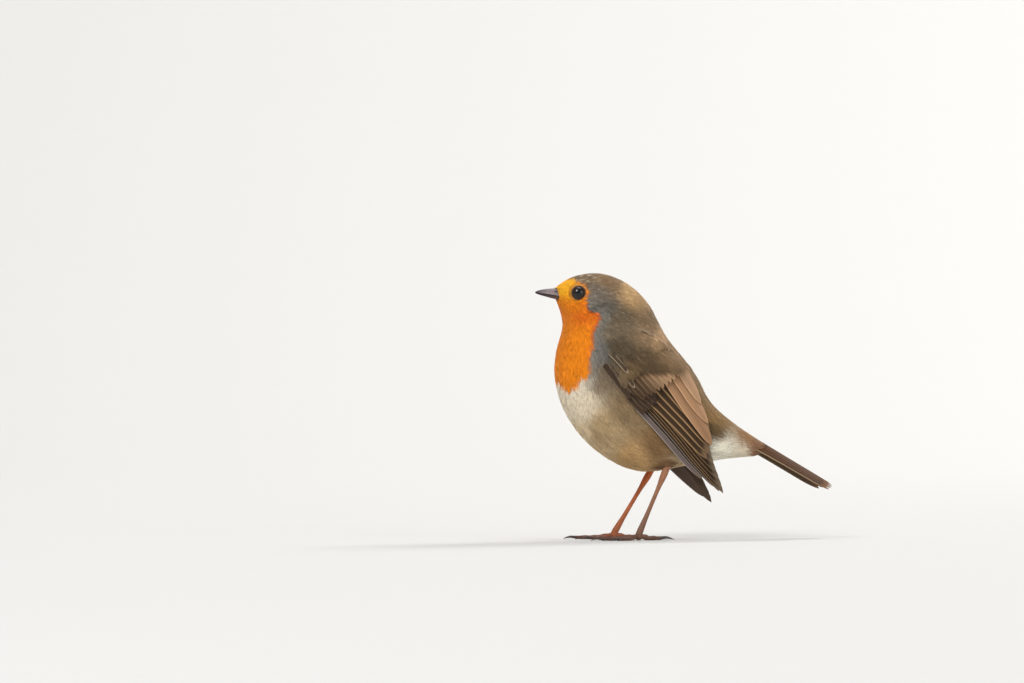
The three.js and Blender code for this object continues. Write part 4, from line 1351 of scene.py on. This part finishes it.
def make_eyeball(side_name):
    centre, out = EYES[side_name]
    points, faces = egg(centre, (EYE_RADIUS, EYE_RADIUS, EYE_DEPTH), 32, 48, [*eye_axes(out), out])
    height = (points - centre) @ out / EYE_DEPTH
    radial = np.sqrt(np.clip(1 - height**2, 0, 1)) * EYE_RADIUS
    iris = mixed(srgb(38, 24, 16), srgb(20, 13, 10), smoothstep(1.7, 2.3, radial))
    colour = mixed(srgb(4, 4, 5), iris, smoothstep(PUPIL_RADIUS, PUPIL_RADIUS + 0.15, radial))
    obj = new_object(f"eye_{side_name}_ball", points, faces, EYE, colour)
    place(obj, "eye", f"eye_{side_name}")


def make_lid(side_name):
    """A notched rim of bare skin, whose outer slope runs down under the feathers, and its mesh."""
    centre, out = EYES[side_name]
    height = EYE_DEPTH * math.sqrt(1 - (LID_RADIUS / EYE_RADIUS) ** 2)
    _, ring, angle = ring_points(centre, out, LID_RADIUS, height, LID_SIDES)
    notch = 1 + 0.12 * np.sin(angle * 24)
    away, lifted = np.array(LID_SECTION).T
    lifted = np.where(lifted > 0, lifted * notch[:, None], lifted)
    points = centre + ring[:, None] * (LID_RADIUS + away)[None, :, None] + out * (height + lifted)[..., None]
    points = points.reshape(-1, 3)
    a = np.arange(len(points)).reshape(LID_SIDES, -1)
    b, c = np.roll(a, -1, axis=0), np.roll(a, -1, axis=1)
    d = np.roll(b, -1, axis=1)
    faces = np.stack([a, b, d, c], axis=-1).reshape(-1, 4)
    rim = np.tile(smoothstep(0.36, 0.3, away), LID_SIDES)
    # The lid's outer slope is darkened as painted shade, like the shaded coat round it. The rim's dark brown
    # is the lid's own colour.
    colour = mixed(plumage(points) * 0.7, srgb(50, 38, 30), rim)
    place(new_object(f"eye_{side_name}_lid", points, faces, LID, colour), "eye")
    return points, np.concatenate([faces[:, [0, 1, 2]], faces[:, [0, 2, 3]]])


# Rows of tufts down the lid's outer slope: how far out, how high, how many.
RING_ROWS = [
    (0.36, 0.98, 60), (0.48, 0.76, 62), (0.6, 0.5, 64), (0.72, 0.22, 66), (0.84, -0.08, 68), (0.98, -0.4, 70),
]


def eye_ring(side_name):
    """Tiny pale feathers laid round the lid, from its front to its back."""
    centre, out = EYES[side_name]
    face = Surface(*joined([(skin_points, skin_faces), make_lid(side_name)]))
    back = np.array([1.0, 0.0, 0.0])
    made = []
    for row, (away, height, count) in enumerate(RING_ROWS):
        around, ring, _ = ring_points(centre, out, LID_RADIUS + away, height, count)
        roots, normals = face.nearest(around)
        tangent = np.cross(out, ring)
        tangent = tangent * np.sign(tangent @ back)[:, None]
        size = rng.normal(1.15, 0.1, count)
        lines = traced(face, roots, normals, size, unit(tangent + ring * 0.34 + back * 0.15))
        pale = mixed(srgb(240, 156, 56), srgb(214, 150, 84), smoothstep(0.0, 1.5, ring @ back + 0.6))
        pale = lerp(pale, plumage(roots), smoothstep(1.0, 5.0, float(row)))
        pale = np.clip(pale * (1 + rng.normal(0, 0.08, (count, 1))), 0, 1)
        shape = (size, np.full(count, 0.14), np.full(count, 0.28), 5, 0.15)
        # Painted shade: the roots are a darker copy of the tips' colour.
        made.append(tufts(lines, *shape, pale, pale * 0.86))
    coat_object(f"eye_{side_name}_ring", made, "plumage_orange")


for name in SHOULDERS:
    make_eyeball(name)
    eye_ring(name)

# ---------------------------------------------------------------- legs, feet and claws

# Each toe: its turn from the middle one, its length, its radius and its claw's length.
TOES = {
    "hind": (180, 8.6, 0.95, 5.2), "inner": (-27, 10.6, 0.78, 3.6),
    "middle": (0, 14.2, 0.85, 4.2), "outer": (26, 11.2, 0.78, 3.5),
}
SOLE_CUT = 0.16  # how deep the flat under each toe is cut
SHANK_RADII = [0.95, 1.12, 1.22, 1.10, 0.86, 0.74, 0.72, 0.72, 0.74, 0.78, 0.86, 1.0, 1.15, 1.1]
TOE_RADII = np.array([1.02, 1.0, 1.0, 0.97, 0.92, 0.86, 0.82, 0.78, 0.66])
# Each leg's colour at its hock and at its ankle. The two legs are one colour in life: the difference between
# them is painted light, brighter and more orange on the right.
LEG_TONES = {
    "left": (srgb(158, 108, 78), srgb(122, 88, 70)),
    "right": (srgb(192, 102, 54), srgb(156, 90, 58)),
}


def leg_colour(points, tones, share):
    uneven = 1 + 0.06 * wavy(points[:, [0, 2]], 0.8, 9)
    return mixed(tones[0], tones[1], np.clip(share, 0, 1)) * uneven[:, None]


def make_shank(side_name, hock, ankle):
    down = unit(ankle - hock)
    bends = [hock - down * 2.0, hock + down * 0.3, lerp(hock, ankle, 0.1), lerp(hock, ankle, 0.5)]
    path = curve(bends + [ankle - down * 1.0, ankle + [0, 0, -0.35]], 72)

    def shin(share, angle):
        front = np.clip(np.cos(angle - math.pi * 1.5), 0, 1)  # the shin faces forwards
        plates = np.abs(np.sin(share * math.pi * 9))
        return 1 + 0.035 * front * (plates**0.3 - 0.8) + 0.05 * np.cos(2 * (angle - math.pi / 2))

    points, faces = swept(path, SHANK_RADII, 20, shin)
    share = np.clip((hock[2] - points[:, 2]) / (hock[2] - ankle[2]), 0, 1)
    colour = leg_colour(points, LEG_TONES[side_name], share)
    obj = new_object(f"shank_{side_name}_skin", points, faces, SCALE, colour)
    place(obj, "leg_skin", f"shank_{side_name}")


def make_toe(toe, ankle, ahead):
    """A toe with its knuckles and scutes, how far along it each place is, and its claw."""
    _, length, radius, claw = TOES[toe]
    low = radius - SOLE_CUT
    joints = 3 if toe == "hind" else 4

    def path(ends, count):
        return curve([ankle * [1, 1, 0] + ahead * distance + [0, 0, z] for distance, z in ends], count)

    def knuckles(share, angle):
        bulge = 0.09 * np.cos(share * joints * 2 * math.pi)
        scutes = np.abs(np.sin(share * math.pi * length / 1.05)) ** 0.35
        return 1 + bulge + 0.08 * np.clip(np.sin(angle), 0, 1) * (scutes - 0.75)

    def narrow(share, angle):
        """A claw is deeper than it is wide."""
        return 1 + 0.2 * (np.abs(np.sin(angle)) - 0.5)

    ends = [
        (0, 1.75), (2.2, 1.25), (length * 0.45, low * 1.04),
        (length * 0.72, low * 0.98), (length, low * 0.92),
    ]
    points, faces = swept(path(ends, 40), TOE_RADII * radius, 16, knuckles)
    share = np.linalg.norm((points - ankle)[:, :2], axis=1) / length
    tip = length + 0.3
    ends = [
        (length - 0.7, radius * 0.72), (tip, radius * 0.86), (tip + claw * 0.35, radius * 1.02),
        (tip + claw * 0.72, radius * 0.66), (tip + claw * 0.97, 0.08),
    ]
    sizes = [radius * 0.6, radius * 0.56, radius * 0.46, radius * 0.3, 0.05]
    return (points, faces, share), swept(path(ends, 22), sizes, 10, narrow)


def make_leg(side_name):
    side, hock, ankle, heading = LEGS[side_name]
    hock, ankle = (np.array([x + SHIFT, side * y, z]) for x, y, z in (hock, ankle))
    make_shank(side_name, hock, ankle)

    knob, knob_faces = egg(ankle * [1, 1, 0] + [0, 0, 1.32], [1.35, 1.25, 1.30], 12, 18, np.eye(3))
    feet, claws = [(knob, knob_faces, np.zeros(len(knob)))], []
    for toe, (turn, *_) in TOES.items():
        angle = math.pi - side * math.radians(heading) - side * math.radians(turn)
        foot, claw = make_toe(toe, ankle, np.array([math.cos(angle), math.sin(angle), 0]))
        feet.append(foot)
        claws.append(claw)
    points, faces = joined([foot[:2] for foot in feet])
    points[:, 2] = np.maximum(points[:, 2], 0.0)
    tones = (LEG_TONES[side_name][1] * 0.9, srgb(88, 64, 56))
    colour = leg_colour(points, tones, np.concatenate([foot[2] for foot in feet]))
    obj = new_object(f"foot_{side_name}_skin", points, faces, SCALE, colour)
    place(obj, "foot_skin", f"foot_{side_name}", *[f"toe_{side_name}_{toe}" for toe in TOES])
    points, faces = joined(claws)
    points[:, 2] = np.maximum(points[:, 2], 0.0)
    colour = np.tile(srgb(58, 44, 38), (len(points), 1))
    obj = new_object(f"claws_{side_name}_horn", points, faces, CLAW, colour)
    place(obj, "claw", *[f"claw_{side_name}_{toe}" for toe in TOES])


for name in SHOULDERS:
    make_leg(name)

# ---------------------------------------------------------------- floor, light and camera


def make_floor():
    """A floor that sweeps up into the wall behind."""
    material, tree, shader = principled("studio_floor")
    shader.inputs["Base Color"].default_value = (0.60, 0.59, 0.57, 1)
    shader.inputs["Roughness"].default_value = 0.9
    shader.inputs["Specular IOR Level"].default_value = 0.1
    bumped(tree, shader, noise(tree, 60.0), 0.05, 1.0)
    width, near, far, high, bend = 6000, -5200, 2600, 4200, 1400
    turns = [i / 12 * math.pi / 2 for i in range(1, 13)]
    sweep = [(far - bend + bend * math.sin(turn), bend - bend * math.cos(turn)) for turn in turns]
    profile = [(near, 0.0), (far - bend, 0.0), *sweep, (far, high)]
    points = [(x, y, z) for y, z in profile for x in (-width, width)]
    faces = [(2 * i, 2 * i + 1, 2 * i + 3, 2 * i + 2) for i in range(len(profile) - 1)]
    return new_object("studio_floor", np.array(points, float), np.array(faces), material)


def make_lamp(name, spot_at, size, power):
    data = bpy.data.lights.new(name, "AREA")
    data.shape = "DISK"
    data.size = size
    data.energy = power
    obj = bpy.data.objects.new(name, data)
    obj.location = spot_at
    aim = Vector((0.0, 0.0, 0.05)) - obj.location
    obj.rotation_euler = aim.to_track_quat("-Z", "Y").to_euler()
    bpy.context.scene.collection.objects.link(obj)
    return obj


# Each lamp: its place and width in metres, and its power in watts.
LAMPS = {
    "key": ((-1.8, -2.2, 2.2), 1.4, 62.0),
    "top": ((0.3, 0.2, 3.0), 2.4, 44.0),
    "rim": ((2.0, 1.9, 1.9), 1.2, 60.0),
    "fill": ((1.8, -2.6, 0.9), 2.0, 20.0),
}
floor = make_floor()
lamps = [make_lamp(name, *lamp) for name, lamp in LAMPS.items()]

world = bpy.data.worlds.new("studio")
world.use_nodes = True
background = world.node_tree.nodes["Background"]
background.inputs["Color"].default_value = (0.9, 0.92, 0.95, 1)
background.inputs["Strength"].default_value = 0.45
bpy.context.scene.world = world

VIEW_AZIMUTH = math.radians(-12)
VIEW_ELEVATION = math.radians(0.5)
VIEW_DISTANCE = 4.14
VIEW_CENTRE = Vector((-0.0603, 0.0128, 0.072))  # what the middle of the picture looks at

camera = bpy.data.cameras.new("camera")
camera.lens = 400
camera.sensor_width = 36
camera.clip_end = 100
camera_obj = bpy.data.objects.new("camera", camera)
towards = Vector(
    (
        math.sin(VIEW_AZIMUTH) * math.cos(VIEW_ELEVATION),
        -math.cos(VIEW_AZIMUTH) * math.cos(VIEW_ELEVATION),
        math.sin(VIEW_ELEVATION),
    )
)
camera_obj.location = VIEW_CENTRE + towards * VIEW_DISTANCE
camera_obj.rotation_euler = (-towards).to_track_quat("-Z", "Y").to_euler()
bpy.context.scene.collection.objects.link(camera_obj)
bpy.context.scene.camera = camera_obj
bpy.context.scene.view_settings.view_transform = "Standard"
